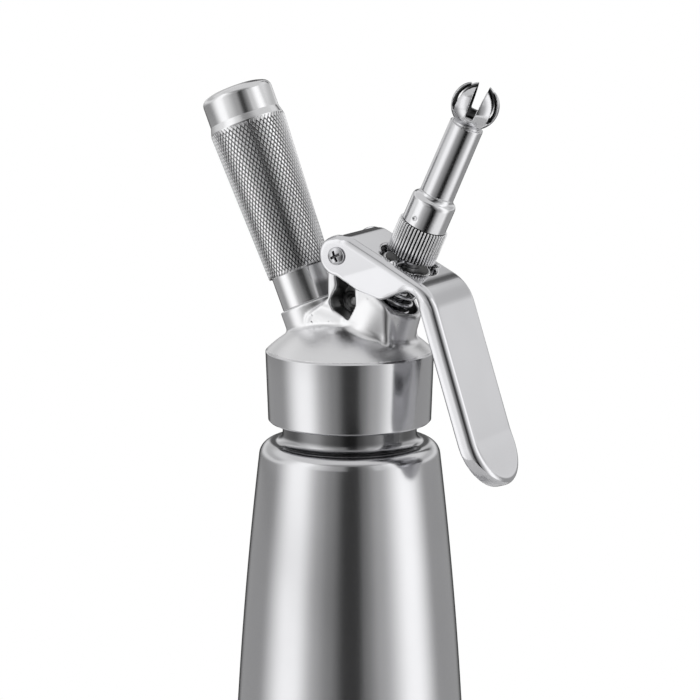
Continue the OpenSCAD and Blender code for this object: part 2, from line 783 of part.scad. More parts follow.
module valve_spring() {
    sides = 6;
    line = spring_line();
    n = len(line);
    path = [for (q = line) spring_point(q)];
    rings = [for (i = [0:n - 1]) let (
            a = line[i].x / spring_r * 180 / PI,
            out = [cos(a), sin(a), 0],
            way = unit(i == 0 || i == n - 1 ? [0, 0, 1] : path[i + 1] - path[i - 1]),
            side = unit(cross(way, out)))
        for (k = [0:sides - 1]) let (t = k * 360 / sides)
            path[i] + wire_r * (cos(t) * unit(cross(side, way)) + sin(t) * side)];
    faces = concat(
        [[for (k = [0:sides - 1]) k]],
        [for (i = [0:n - 2]) for (k = [0:sides - 1]) let (m = (k + 1) % sides)
            [i * sides + k, (i + 1) * sides + k, (i + 1) * sides + m]],
        [for (i = [0:n - 2]) for (k = [0:sides - 1]) let (m = (k + 1) % sides)
            [i * sides + k, (i + 1) * sides + m, i * sides + m]],
        [[for (k = [sides - 1:-1:0]) (n - 1) * sides + k]]);
    echo("least gap between the spring's turns", spring_gap(line));
    color("silver") on_valve() translate([0, 0, chamber_floor])
        polyhedron(points = rings, faces = faces);
}

// ---- Nozzle ----

module nozzle_washer() {
    color("dimgray") on_valve()
        sleeve(stem_r - 0.2, stem_bore_r + 0.1, stem_top_l, socket_top_l);
}

module nozzle_collar() {
    edge = 0.7;
    color("silver") on_valve() difference() {
        rotate_extrude() polygon([
            [0, collar_l], [collar_r - edge, collar_l], [collar_r, collar_l + edge],
            [collar_r, collar_top_l - edge], [collar_r - edge, collar_top_l],
            [0, collar_top_l]]);
        disc(adapter_r + disc_play / 2, collar_l - 1, collar_top_l + 1);
    }
}

// The shoulder is a round edge that turns into a hollow one, both through the same angle
module nozzle_adapter() {
    shoulder_l = adapter_top_l - adapter_shoulder;
    turn = 2 * atan((adapter_r - tip_r) / adapter_shoulder);
    both_r = adapter_shoulder / sin(turn);
    edge_r = 0.45 * both_r;
    hollow_r = both_r - edge_r;
    spigot_l = adapter_top_l - spigot_len;
    color("gainsboro") on_valve() difference() {
        rotate_extrude() polygon(concat(
            [[0, collar_l], [adapter_r, collar_l]],
            arc([adapter_r - edge_r, shoulder_l], edge_r, 0, turn, 6),
            arc([tip_r + hollow_r, adapter_top_l], hollow_r, 180 + turn, 180, 6),
            [[0, adapter_top_l]]));
        disc(stem_r + stem_fit, collar_l - 1, socket_top_l);
        disc(stem_bore_r, collar_l, adapter_top_l + 1);
        disc(spigot_r + disc_play / 2, spigot_l - 1, adapter_top_l + 1);
    }
}

module tip_seal() {
    foot_l = adapter_top_l - spigot_len - 1;
    color("dimgray") on_valve() sleeve(spigot_r, stem_bore_r + 0.3, foot_l, foot_l + 1);
}

// Level of the ball's open mouth above its centre
function mouth_h() = ball_r - 1.3;

// Wedge that cuts one slot, its foot narrow and its mouth wide
module slot_cutter() {
    half_foot = slot_foot_w / 2;
    half_mouth = slot_mouth_w / 2;
    foot_round = 0.6;
    rotate([90, 0, 90]) linear_extrude(height = ball_r + 2) polygon(rounded([
        [-half_foot, -slot_foot_drop, foot_round], [half_foot, -slot_foot_drop, foot_round],
        [half_mouth, mouth_h(), 0], [half_mouth, ball_r + 1, 0],
        [-half_mouth, ball_r + 1, 0], [-half_mouth, mouth_h(), 0]]));
}

module nozzle_tip() {
    neck_angle = acos(ball_neck_r / ball_r);
    neck_l = ball_l - ball_r * sin(neck_angle);
    tube_end_l = neck_l - ball_neck_len;
    mouth_angle = asin(mouth_h() / ball_r);
    inner_r = ball_r - ball_wall;
    inner_foot = acos(tip_bore_r / inner_r);
    foot_l = adapter_top_l - spigot_len;
    color("silver") on_valve() difference() {
        rotate_extrude() polygon(concat(
            [[0, foot_l], [spigot_r, foot_l], [spigot_r, adapter_top_l],
             [tip_r, adapter_top_l], [tip_end_r, tube_end_l], [ball_neck_r, tube_end_l]],
            arc([0, ball_l], ball_r, -neck_angle, mouth_angle, 18),
            [[0, ball_l + mouth_h()]]));
        rotate_extrude() polygon(concat(
            [[0, foot_l - 1], [stem_bore_r + 0.6, foot_l - 1], [tip_bore_r, adapter_top_l]],
            arc([0, ball_l], inner_r, -inner_foot, 84, 16),
            [[0.7, ball_l + ball_r + 1], [0, ball_l + ball_r + 1]]));
        for (i = [0:slot_count - 1]) rotate([0, 0, slot_turn + i * 360 / slot_count])
            translate([0, 0, ball_l]) slot_cutter();
    }
}

bottle();
head_gasket();
head_casting();
gas_inlet();
inlet_strainer();
piercing_pin();
pin_seal();
check_valve();
gas_charger();
charger_holder();
lever();
pivot_screws();
valve_stem();
valve_seal();
stem_o_rings();
valve_spring();
stem_nut();
nozzle_washer();
nozzle_collar();
nozzle_adapter();
tip_seal();
nozzle_tip();
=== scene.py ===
# %% [markdown]
# # A steel whipped cream dispenser
#
# The solid model gives every part of the dispenser its true size and its joints. This lesson
# dresses it: cast, drawn, turned, knurled and polished steel, lit as in a small product studio.
# We work in millimetres while we shape, and turn to metres once, when a mesh is made.

import math

import bpy
import numpy as np
from mathutils import Matrix, Vector


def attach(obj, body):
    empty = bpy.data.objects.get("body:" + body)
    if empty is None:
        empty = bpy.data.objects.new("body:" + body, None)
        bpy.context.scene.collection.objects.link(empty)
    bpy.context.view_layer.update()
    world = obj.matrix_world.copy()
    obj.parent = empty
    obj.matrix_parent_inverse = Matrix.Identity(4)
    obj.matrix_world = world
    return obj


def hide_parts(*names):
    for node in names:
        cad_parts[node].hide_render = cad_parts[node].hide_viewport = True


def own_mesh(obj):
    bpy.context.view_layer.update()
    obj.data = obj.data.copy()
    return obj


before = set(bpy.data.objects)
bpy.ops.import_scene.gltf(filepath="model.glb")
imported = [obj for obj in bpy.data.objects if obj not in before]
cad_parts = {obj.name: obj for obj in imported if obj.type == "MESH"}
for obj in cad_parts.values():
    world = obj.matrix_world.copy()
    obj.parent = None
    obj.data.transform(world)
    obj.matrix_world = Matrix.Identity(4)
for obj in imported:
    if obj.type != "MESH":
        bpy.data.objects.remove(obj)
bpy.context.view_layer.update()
MM = 0.001
print("nodes in the frame:", len(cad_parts))

# %% [markdown]
# ## Sizes
# These repeat the sizes of the solid model, so that each dressed piece fills the place of its
# solid. A turned part is given along its own axis: the bottle's axis is upright, the charging
# port leans one way and the valve leans the other way.

# %% Sizes shared by several pieces, in millimetres
SKIRT_Z, SKIRT_TOP_Z, RIM_Z = 212.0, 238.0, 230.5
SKIRT_TOP_R = 31.0
DOME_R = 44.0
DOME_Z = SKIRT_TOP_Z - math.sqrt(DOME_R**2 - SKIRT_TOP_R**2)
PIVOT = np.array([3.0, 275.25])
BLOCK_HALF_W = 12.0
BOSS_LEN, FLOOR_L = 18.0, 10.5
STEM_FIT_R = 4.48


def leaning_axis(foot_x, tilt):
    """The matrix that puts a part's own Z, in millimetres, on an axis leaning in the XZ plane."""
    return Matrix.Translation((foot_x, 0, SKIRT_TOP_Z)) @ Matrix.Rotation(math.radians(tilt), 4, "Y")


UPRIGHT = Matrix.Identity(4)
ON_VALVE = leaning_axis(8.0, 24.7)
ON_PORT = leaning_axis(-9.2, -22.6)
print("valve axis:", [round(x, 4) for x in ON_VALVE.col[2][:3]])

# %% [markdown]
# ## Writing node trees as expressions
# Node trees get long when every node is wired by hand. The small class below wraps one output
# socket and overloads the arithmetic signs, so `1 - mask * 0.3` adds the Math nodes by itself.
# It serves shader trees and Geometry Nodes trees alike. Any other node comes from `Tree.add`.


# %% One class for sockets, one for trees
class Signal:
    """An output socket that can be used in Python arithmetic."""

    def __init__(self, tree, socket):
        self.tree, self.socket = tree, socket

    def _with(self, operation, first, second=0.0):
        return self.tree.add("ShaderNodeMath", {"operation": operation}, {0: first, 1: second})

    def __add__(self, other):
        return self._with("ADD", self, other)

    def __sub__(self, other):
        return self._with("SUBTRACT", self, other)

    def __rsub__(self, other):
        return self._with("SUBTRACT", other, self)

    def __mul__(self, other):
        return self._with("MULTIPLY", self, other)

    def __truediv__(self, other):
        return self._with("DIVIDE", self, other)

    __radd__, __rmul__ = __add__, __mul__

    def math(self, operation, other=0.0):
        return self._with(operation, self, other)

    def ramp(self, low, high, to_low=0.0, to_high=1.0):
        """A soft step from one value to another while this signal goes from low to high."""
        settings = {"interpolation_type": "SMOOTHSTEP"}
        inputs = {"Value": self, "From Min": low, "From Max": high, "To Min": to_low, "To Max": to_high}
        return self.tree.add("ShaderNodeMapRange", settings, inputs)


class Tree:
    """A node tree in which add() makes a node, sets it up, feeds it and returns an output."""

    def __init__(self, node_tree):
        self.nodes, self.links = node_tree.nodes, node_tree.links

    def add(self, kind, settings=None, inputs=None, output=0):
        node = self.nodes.new(kind)
        for name, value in (settings or {}).items():
            setattr(node, name, value)
        for name, value in (inputs or {}).items():
            self.feed(node, name, value)
        return Signal(self, node.outputs[output])

    def feed(self, node, name, value):
        socket = node.inputs[name]
        if isinstance(value, Signal):
            self.links.new(value.socket, socket)
        else:
            socket.default_value = value


# %% [markdown]
# ## Finishes
# Almost everything here is steel, and the finish tells the parts apart: the bottle is drawn and
# finely brushed, the head is a blasted casting, the lever is polished, and small parts come off
# a lathe. Each finish is one metal whose roughness and bump follow the way it was worked.


# %% A metal whose roughness, tone and grain come from its working, with painted shade in its hollows
def new_material(name):
    material = bpy.data.materials.new(name)
    material.use_nodes = True
    tree = Tree(material.node_tree)
    shader = next(n for n in tree.nodes if n.type == "BSDF_PRINCIPLED")
    return material, tree, shader


def place_of(tree, lean=UPRIGHT):
    """Object coordinates in metres, turned so that Z runs along a part's own axis."""
    place = tree.add("ShaderNodeTexCoord", output="Object")
    turn = lean.to_3x3().inverted().to_euler()
    shift = -(lean.to_3x3().inverted() @ (lean.translation * MM))
    return tree.add("ShaderNodeMapping", None, {"Vector": place, "Rotation": turn, "Location": shift})


def noise(tree, place, scale, detail=2.0, stretch=(1.0, 1.0, 1.0)):
    """Noise of about -1 to 1 over places that may be stretched along an axis."""
    squeezed = tree.add("ShaderNodeVectorMath", {"operation": "MULTIPLY"}, {0: place, 1: stretch})
    value = tree.add("ShaderNodeTexNoise", None, {"Vector": squeezed, "Scale": scale, "Detail": detail})
    return (value - 0.5) * 2.0


def paint(tree, low, high, factor):
    """A colour between two colours, each a tone or a signal."""
    mixed = tree.add("ShaderNodeMix", {"data_type": "RGBA"}, {0: factor}, output=2)
    for socket, colour in ((6, low), (7, high)):
        value = colour if isinstance(colour, Signal) else (*colour, 1.0)
        tree.feed(mixed.socket.node, socket, value)
    return mixed


def grain_bump(tree, shader, height, strength):
    """Tilts the shading by a very fine relief."""
    inputs = {"Strength": strength, "Distance": 0.05 * MM, "Height": height}
    tree.feed(shader, "Normal", tree.add("ShaderNodeBump", None, inputs))


def coordinates(tree, place):
    split = tree.add("ShaderNodeSeparateXYZ", None, {0: place}).socket.node
    return [Signal(tree, split.outputs[k]) for k in range(3)]


def millimetres(tree, place):
    return [length / MM for length in coordinates(tree, place)]


def span(a, b):
    """The length of the hypotenuse over two signals."""
    return (a * a + b * b).math("SQRT")


def steel(name, tone, rough, grain, lean=UPRIGHT, worked="turned", bump=0.1, uneven=0.1, dark=None):
    """Steel: worked is turned (rings), drawn (long streaks), blasted (pits) or polished.

    Hollows that light hardly reaches are darker; dark gives their share from tree and place."""
    material, tree, shader = new_material(name)
    place = place_of(tree, lean)
    stretch = {
        "turned": (0.02, 0.02, 1.0),
        "drawn": (1.0, 1.0, 0.015),
        "blasted": (1.0, 1.0, 1.0),
        "polished": (0.2, 1.0, 0.2),
    }[worked]
    fine = noise(tree, place, grain, 3.0, stretch)
    cloud = noise(tree, place, 45.0, 2.0)
    scratch = noise(tree, place, 420.0, 4.0, (1.0, 0.35, 0.12))
    wear = (scratch.ramp(0.25, 0.75) * 0.5 + cloud * 0.5) * uneven
    tree.feed(shader, "Roughness", wear * rough + fine * (rough * uneven) + rough)
    darker = tuple(c * (1.0 - 0.5 * uneven) for c in tone)
    colour = paint(tree, tone, darker, cloud.ramp(-0.6, 0.9))
    # painted shade: where dark gives its share, the colour runs to a near-black copy of the tone
    if dark:
        unlit = tuple(0.07 * c for c in tone)
        colour = paint(tree, colour, unlit, dark(tree, place))
    tree.feed(shader, "Base Color", colour)
    grain_bump(tree, shader, fine + scratch * 0.3, bump)
    shader.inputs["Metallic"].default_value = 1.0
    return material


STEEL = (0.70, 0.70, 0.715)
skirt_steel = steel("skirt_steel", STEEL, 0.17, 1400.0, bump=0.05)
polished_steel = steel("polished_steel", (0.74, 0.74, 0.76), 0.12, 900.0, worked="polished", bump=0.03)
valve_steel = steel("valve_steel", (0.74, 0.74, 0.755), 0.11, 3000.0, lean=ON_VALVE, bump=0.06)
port_steel = steel("port_steel", (0.78, 0.78, 0.79), 0.17, 3000.0, lean=ON_PORT, bump=0.10)
rib_steel = steel("rib_steel", (0.92, 0.92, 0.93), 0.16, 3000.0, lean=ON_VALVE, bump=0.06)
# painted shade: a near-black steel for the ring cores, so the gaps between the ribs read as shade
groove_shade_steel = steel("groove_shade_steel", (0.03, 0.03, 0.031), 0.30, 3000.0, lean=ON_VALVE, bump=0.10)
print("plain steel finishes made")

# %% [markdown]
# The bottle and the casting have hollows that hardly see the light, and they look nearly black:
# the groove under the head, the pockets in the head's cheeks and the spring's chamber. Their
# finishes darken by place. A soft step on each distance gives the share, from 0 to 1.


# %% Two finishes that darken in their hollows
def neck_groove_shade(tree, place):
    """Painted shade in the groove between the head and the shoulder."""
    level = millimetres(tree, place)[2]
    return level.ramp(204.5, 208.0) * level.ramp(212.5, 214.5, 0.75, 0.0)


POCKET_X, POCKET_Z = 3.5, 260.0


def casting_hollow_shade(tree, place):
    """Painted shade in the head's side pockets and its spring chamber."""
    x, y, z = millimetres(tree, place)
    # painted shade round the side pockets, then in the spring chamber
    pocket = span(x - POCKET_X, z - POCKET_Z).ramp(8.0, 10.0, 0.8, 0.0)
    pocket = pocket * y.math("ABSOLUTE").ramp(9.0, 11.4, 1.0, 0.0)
    axis, foot = ON_VALVE.col[2], ON_VALVE.translation
    off = (x - foot.x) * axis.z - (z - foot.z) * axis.x
    level = (x - foot.x) * axis.x + (z - foot.z) * axis.z
    chamber = span(off, y).ramp(9.6, 10.6, 0.9, 0.0) * level.ramp(8.0, FLOOR_L)
    return pocket.math("MAXIMUM", chamber)


drawn_steel = steel("drawn_steel", STEEL, 0.17, 900.0, worked="drawn", bump=0.05, dark=neck_groove_shade)
cast_steel = steel(
    "cast_steel",
    (0.84, 0.84, 0.85),
    0.29,
    1500.0,
    worked="blasted",
    bump=0.1,
    dark=casting_hollow_shade,
)
print("finishes with hollows:", drawn_steel.name, cast_steel.name)


# %% [markdown]
# The seals are matt rubber, the charger is zinc plated, and the sieve is brass. They hide inside
# the head until the parts move, but each still has its own finish.


# %% Rubber, plastic, brass and zinc
def plain(name, tone, dark, rough, metallic=0.0, scale=700.0, bump=0.15):
    material, tree, shader = new_material(name)
    place = place_of(tree)
    cloud = noise(tree, place, 120.0, 3.0)
    grain = noise(tree, place, scale, 3.0)
    tree.feed(shader, "Base Color", paint(tree, tone, dark, cloud.ramp(-0.6, 0.8)))
    tree.feed(shader, "Roughness", grain * (0.2 * rough) + cloud * (0.15 * rough) + rough)
    grain_bump(tree, shader, grain, bump)
    shader.inputs["Metallic"].default_value = metallic
    return material


black_rubber = plain("black_rubber", (0.035, 0.035, 0.037), (0.022, 0.022, 0.024), 0.6)
red_rubber = plain("red_rubber", (0.52, 0.07, 0.05), (0.40, 0.05, 0.04), 0.5)
white_plastic = plain("white_plastic", (0.80, 0.80, 0.78), (0.72, 0.72, 0.70), 0.4)
sieve_brass = plain("sieve_brass", (0.72, 0.52, 0.25), (0.55, 0.38, 0.17), 0.3, metallic=1.0)
zinc = plain("zinc", (0.62, 0.64, 0.68), (0.50, 0.52, 0.56), 0.3, metallic=1.0, scale=1500.0)

# %% [markdown]
# ## Making a mesh
# A finished piece sits at the origin with its place in its mesh, as the solids do. The helper
# takes millimetres along a part's own axis and puts the piece where that axis leans.


# %% From points to a piece
def piece(name, points, faces, material, body, nodes=(), lean=UPRIGHT, flat_angle=None):
    """Makes a mesh piece, shades it smooth, and lets it ride on its body."""
    mesh = bpy.data.meshes.new(name)
    points = np.asarray(points, float)
    turned = points @ np.array(lean.to_3x3()).T + np.array(lean.translation)
    mesh.from_pydata((turned * MM).tolist(), [], faces)
    mesh.validate()
    mesh.shade_smooth()
    if flat_angle:
        mesh.set_sharp_from_angle(angle=math.radians(flat_angle))
    mesh.materials.append(material)
    thing = bpy.data.objects.new(name, mesh)
    bpy.context.scene.collection.objects.link(thing)
    dress(thing, body, nodes)


def dress(thing, body, nodes=()):
    """Rides a finished piece on its body and lets it stand for solids."""
    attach(thing, body)
    if nodes:
        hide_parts(*nodes)
    print(f"{thing.name}: {len(thing.data.polygons)} faces on {body}")
    return thing


# %% [markdown]
# ## Turned parts
# A turned part is a profile swept round its axis. Real edges are never perfectly sharp, and a
# rounded edge is what catches the light, so every corner of a profile gets a small arc.


# %% A profile with rounded corners, and the lathe
NEARLY_STRAIGHT = math.radians(88)


def soften(corners, default=0.25, steps=4):
    """Rounds each corner (r, z) or (r, z, radius) of a closed outline with a small arc."""
    points = [np.array(c[:2], float) for c in corners]
    out = []
    for i, here in enumerate(points):
        radius = corners[i][2] if len(corners[i]) > 2 else default
        if radius == 0:
            out.append(here)
            continue
        back, ahead = points[i - 1] - here, points[(i + 1) % len(points)] - here
        room = min(np.linalg.norm(back), np.linalg.norm(ahead))
        back, ahead = back / np.linalg.norm(back), ahead / np.linalg.norm(ahead)
        half = math.acos(max(-1.0, min(1.0, float(back @ ahead)))) / 2
        if half > NEARLY_STRAIGHT:
            out.append(here)
            continue
        reach = min(radius / math.tan(half), 0.45 * room)
        radius = reach * math.tan(half)
        middle = (back + ahead) / np.linalg.norm(back + ahead)
        centre = here + middle * radius / math.sin(half)
        first, last = here + back * reach - centre, here + ahead * reach - centre
        start = math.atan2(first[1], first[0])
        turn = math.atan2(first[0] * last[1] - first[1] * last[0], first @ last)
        for k in range(steps + 1):
            a = start + turn * k / steps
            out.append(centre + radius * np.array([math.cos(a), math.sin(a)]))
    return np.array(out)


def lathe(profile, segments=128):
    """Sweeps a closed outline of (r, z) points round Z. Points at r = 0 become one pole."""
    profile = np.asarray(profile, float)
    angles = np.arange(segments) * (2 * math.pi / segments)
    points, rows = [], []
    for r, z in profile:
        if r < 1e-6:
            rows.append([len(points)] * segments)
            points.append((0.0, 0.0, z))
        else:
            rows.append(list(range(len(points), len(points) + segments)))
            points += [(r * math.cos(a), r * math.sin(a), z) for a in angles]
    faces = []
    for i, row in enumerate(rows):
        after = rows[(i + 1) % len(rows)]
        if row[0] == row[1] and after[0] == after[1]:
            continue
        for k in range(segments):
            m = (k + 1) % segments
            ring = [row[k], row[m], after[m], after[k]]
            faces.append(list(dict.fromkeys(ring)))
    area = sum(
        profile[i][0] * profile[(i + 1) % len(profile)][1]
        - profile[(i + 1) % len(profile)][0] * profile[i][1]
        for i in range(len(profile))
    )
    if area < 0:
        faces = [f[::-1] for f in faces]
    return np.array(points), faces


def arc(centre, radius, start, end, steps):
    """Points of an arc, its angles in degrees. Their third value, 0, keeps soften() off them."""
    angles = np.radians(np.linspace(start, end, steps + 1))
    return [(centre[0] + radius * math.cos(a), centre[1] + radius * math.sin(a), 0) for a in angles]


# %% [markdown]
# ## The bottle
# The drawn bottle tapers on one long curve, turns over a soft shoulder and rises into a bare
# neck. Its mouth carries a rolled thread that the head covers until it is unscrewed.

# %% Bottle wall, shoulder and neck
BODY_R, BODY_ARC_R, SHOULDER_Z, SHOULDER_ROUND = 45.28, 1700.0, 204.3, 5.3
WALL, NECK_R, NECK_FILLET, NECK_WALL, THREAD_STEP = 1.2, 24.8, 3.2, 2.2, 1.7
FOOT_ROUND = 5


def wall_r(z):
    return BODY_R - BODY_ARC_R + math.sqrt(BODY_ARC_R**2 - z * z)


side_z = SHOULDER_Z - SHOULDER_ROUND
lean_angle = math.degrees(math.asin(side_z / BODY_ARC_R))
round_c = (wall_r(side_z) - SHOULDER_ROUND / math.cos(math.radians(lean_angle)), side_z)
THREAD_R = NECK_R + THREAD_STEP
thread_root = THREAD_R - 0.9
foot_c = (wall_r(FOOT_ROUND) - FOOT_ROUND, FOOT_ROUND)
outer = [(0, 0, 0)] + arc(foot_c, FOOT_ROUND, -90, 0, 10)
outer += [(wall_r(z), z, 0) for z in np.linspace(FOOT_ROUND, side_z, 40)[1:-1]]
outer += arc(round_c, SHOULDER_ROUND, lean_angle, 90, 12)
outer += arc((NECK_R + NECK_FILLET, SHOULDER_Z + NECK_FILLET), NECK_FILLET, 270, 180, 10)
outer += [
    (NECK_R, SKIRT_Z + 2.5, 0.4),
    (thread_root, SKIRT_Z + 4, 0.4),
    (thread_root, RIM_Z - 1.6, 0.4),
    (THREAD_R - 1.2, RIM_Z, 0.5),
    (NECK_R - NECK_WALL, RIM_Z, 0.5),
]
inner = [(NECK_R - NECK_WALL, SHOULDER_Z - WALL, 1.0)]
inner += arc(round_c, SHOULDER_ROUND - WALL, 90, lean_angle, 8)
inner += [(wall_r(z) - WALL, z, 0) for z in np.linspace(side_z, FOOT_ROUND, 20)[1:-1]]
inner += arc(foot_c, FOOT_ROUND - WALL, 0, -90, 8) + [(0, WALL, 0)]
points, faces = lathe(soften(outer + inner), 192)
piece("bottle_body", points, faces, drawn_steel, "bottle", ["bottle"])

# %% [markdown]
# ## Geometry Nodes for what repeats or winds
# Threads and the valve spring are one profile that winds round an axis. One tree winds them all:
# a Spiral curve, a small profile curve, and Curve to Mesh. The inputs are named sizes, which
# Python sets by each socket's identifier.


# %% A modifier tree, run once and turned into a plain mesh
def grown(name, build, sizes, material, body, nodes=(), lean=UPRIGHT):
    """Runs a Geometry Nodes tree with the given sizes and keeps its result as a plain mesh."""
    group = bpy.data.node_groups.new(name, "GeometryNodeTree")
    sockets = {
        size: group.interface.new_socket(size, in_out="INPUT", socket_type=kind)
        for size, (kind, _) in sizes.items()
    }
    group.interface.new_socket("Geometry", in_out="OUTPUT", socket_type="NodeSocketGeometry")
    tree = Tree(group)
    source = group.nodes.new("NodeGroupInput")
    given = {size: Signal(tree, source.outputs[size]) for size in sizes}
    shape = build(tree, given)
    real = tree.add("GeometryNodeRealizeInstances", None, {0: shape})
    painted = tree.add("GeometryNodeSetMaterial", None, {0: real, "Material": material})
    out = group.nodes.new("NodeGroupOutput")
    group.links.new(painted.socket, out.inputs[0])
    seed = bpy.data.objects.new(name, bpy.data.meshes.new(name))
    bpy.context.scene.collection.objects.link(seed)
    modifier = seed.modifiers.new("grown", "NODES")
    modifier.node_group = group
    for size, (_, value) in sizes.items():
        modifier[sockets[size].identifier] = value
    made = bpy.data.meshes.new_from_object(seed.evaluated_get(bpy.context.evaluated_depsgraph_get()))
    seed.modifiers.clear()
    made.transform(Matrix.Scale(MM, 4) @ lean)
    made.name = name
    old, seed.data = seed.data, made
    bpy.data.meshes.remove(old)
    return dress(seed, body, nodes)


FLOAT, WHOLE, OBJECT = "NodeSocketFloat", "NodeSocketInt", "NodeSocketObject"


def wound(tree, size):
    """A profile circle carried along a spiral."""
    spiral = tree.add(
        "GeometryNodeCurveSpiral",
        None,
        {
            "Resolution": size["Steps per turn"],
            "Rotations": size["Turns"],
            "Start Radius": size["Radius"],
            "End Radius": size["Radius"],
            "Height": size["Height"],
        },
    )
    lifted = tree.add(
        "GeometryNodeSetPosition",
        None,
        {0: spiral, "Offset": tree.add("ShaderNodeCombineXYZ", None, {"Z": size["Foot"]})},
    )
    wire = tree.add(
        "GeometryNodeCurvePrimitiveCircle",
        None,
        {"Resolution": size["Sides"], "Radius": size["Wire radius"]},
    )
    tube = tree.add("GeometryNodeCurveToMesh", None, {0: lifted, 1: wire, "Fill Caps": True})
    return tree.add("GeometryNodeSetShadeSmooth", None, {0: tube})


def winding(radius, foot, height, turns, wire, steps=48, sides=12):
    return {
        "Radius": (FLOAT, radius),
        "Foot": (FLOAT, foot),
        "Height": (FLOAT, height),
        "Turns": (FLOAT, turns),
        "Wire radius": (FLOAT, wire),
        "Steps per turn": (WHOLE, steps),
        "Sides": (WHOLE, sides),
    }


# %% The thread on the bottle's neck
grown(
    "bottle_thread",
    wound,
    winding(thread_root + 0.05, SKIRT_Z + 5.2, 10.0, 2.5, 0.85, 96, 10),
    drawn_steel,
    "bottle",
)

# %% [markdown]
# ## Shapes from distance rules
# The head is a casting: dome, lever block, valve tower and charging boss run into each other with
# soft fillets. Modelling that by hand face by face is slow. Instead we describe it by rules that
# give, for any point, the distance to the surface. Rules combine simply: a union with a fillet is
# one formula. A grid of points is then turned into a mesh along the places where the distance is
# zero, and each vertex is pulled exactly onto the surface, so that highlights stay clean.


# %% Rules and how they combine
def join(a, b, fillet):
    """Union of two shapes, with a round fillet where they meet."""
    inside = np.hypot(np.maximum(fillet - a, 0), np.maximum(fillet - b, 0))
    return np.maximum(fillet, np.minimum(a, b)) - inside


def both(a, b, edge):
    """What two shapes share, with a rounded edge where their surfaces cross."""
    outside = np.hypot(np.maximum(edge + a, 0), np.maximum(edge + b, 0))
    return np.minimum(-edge, np.maximum(a, b)) + outside


def cut(a, b, edge):
    """The first shape without the second."""
    return both(a, -b, edge)


def outline(corners):
    """The rule for a flat outline: signed distance of (u, v) to a polygon."""
    corners = np.asarray([c[:2] for c in corners], float)

    def distance(u, v):
        best, inside = None, False
        for (ax, ay), (bx, by) in zip(corners, np.roll(corners, -1, axis=0)):
            ex, ey = bx - ax, by - ay
            wx, wy = u - ax, v - ay
            t = np.clip((wx * ex + wy * ey) / (ex * ex + ey * ey), 0, 1)
            d = (wx - ex * t) ** 2 + (wy - ey * t) ** 2
            best = d if best is None else np.minimum(best, d)
            crosses = ((ay > v) != (by > v)) & (wx < ex * wy / (ey if ey else 1e-12))
            inside = inside ^ crosses
        return np.where(inside, -1, 1) * np.sqrt(best)

    return distance


def along(lean, x, y, z):
    """Distance from a leaning axis and level along it."""
    axis, foot = lean.col[2], lean.translation
    x, z = x - foot.x, z - foot.z
    level = x * axis.x + z * axis.z
    return np.hypot(x * axis.z - z * axis.x, y), level


def rod(r, level, radius, low, high, edge=0.0):
    """A cylinder from one level to another."""
    side, ends = r - radius, np.maximum(low - level, level - high)
    return both(side, ends, edge) if edge else np.maximum(side, ends)


# %% [markdown]
# The mesher below is a surface net: every cell of the grid that the surface passes through gets
# one vertex, and every grid edge that pierces the surface gets one four-sided face.


# %% From a rule to a mesh
PROBE = 0.02


def surface_net(rule, low, high, step):
    """Vertices and faces of the surface on which rule(x, y, z) is zero."""
    axes = [np.arange(a, b + step, step) for a, b in zip(low, high)]
    d = rule(axes[0][:, None, None], axes[1][None, :, None], axes[2][None, None, :])
    d = np.broadcast_to(d, [len(a) for a in axes])
    inside = d < 0
    cells = [n - 1 for n in d.shape]
    corner_sum = np.zeros(cells, np.int8)
    for dx in (0, 1):
        for dy in (0, 1):
            for dz in (0, 1):
                corner_sum += inside[dx : dx + cells[0], dy : dy + cells[1], dz : dz + cells[2]]
    active = (corner_sum > 0) & (corner_sum < 8)
    index = np.full(cells, -1)
    at = np.argwhere(active)
    index[active] = np.arange(len(at))
    points = np.stack([axes[k][at[:, k]] + step / 2 for k in range(3)], axis=1)
    for _ in range(6):
        value = rule(*points.T)
        nudges = np.eye(3) * PROBE
        rises = [rule(*(points + nudge).T) - rule(*(points - nudge).T) for nudge in nudges]
        slope = np.stack(rises, axis=1) / (2 * PROBE)
        size = np.maximum((slope**2).sum(1), 0.05)
        points = points - np.clip(value / size, -0.7 * step, 0.7 * step)[:, None] * slope
    faces = []
    for k in range(3):
        i, j = (k + 1) % 3, (k + 2) % 3
        here = [slice(None)] * 3
        there = [slice(None)] * 3
        here[k], there[k] = slice(0, -1), slice(1, None)
        change = inside[tuple(here)] != inside[tuple(there)]
        spots = np.argwhere(change)
        for side in (i, j):
            spots = spots[(spots[:, side] > 0) & (spots[:, side] < cells[side])]
        ring = []
        for di, dj in ((-1, -1), (0, -1), (0, 0), (-1, 0)):
            cell = spots.copy()
            cell[:, i] += di
            cell[:, j] += dj
            ring.append(index[tuple(cell.T)])
        ring = np.stack(ring, axis=1)
        outward = inside[tuple(spots.T)]
        faces.append(np.where(outward[:, None], ring, ring[:, ::-1]))
    return points, np.concatenate(faces).tolist()


# %% [markdown]
# ## The cast head
# Seen from the side, the block rises from the charging boss to the pivot post and falls at 45
# degrees to the valve tower. A pocket on each side lightens it, with a stepped hole in its web.

# %% The casting's outlines
POST_R, FRONT_X = 5.8, 22.4
block_side = outline(
    arc(PIVOT, POST_R, 180, 0, 18)
    + [
        (PIVOT[0] + POST_R, SKIRT_Z + 57.4),
        (FRONT_X + 3.0, SKIRT_Z + 41.5),
        (FRONT_X + 3.0, SKIRT_Z + 24),
        (-16, SKIRT_Z + 24),
        (PIVOT[0] - POST_R - 8.5, SKIRT_Z + 40),
        (PIVOT[0] - POST_R, SKIRT_Z + 47),
    ]
)
pocket_corners = [
    (0.4, 56.6, 1.5),
    (1.1, 51.4, 4),
    (-1.9, 46.2, 3),
    (-1.0, 42.8, 2.2),
    (5.7, 39.3, 0.8),
    (8.6, 44.8, 2),
    (8.2, 56.6, 1.5),
]
pocket_side = outline([(u, v + SKIRT_Z) for u, v in soften(pocket_corners)])


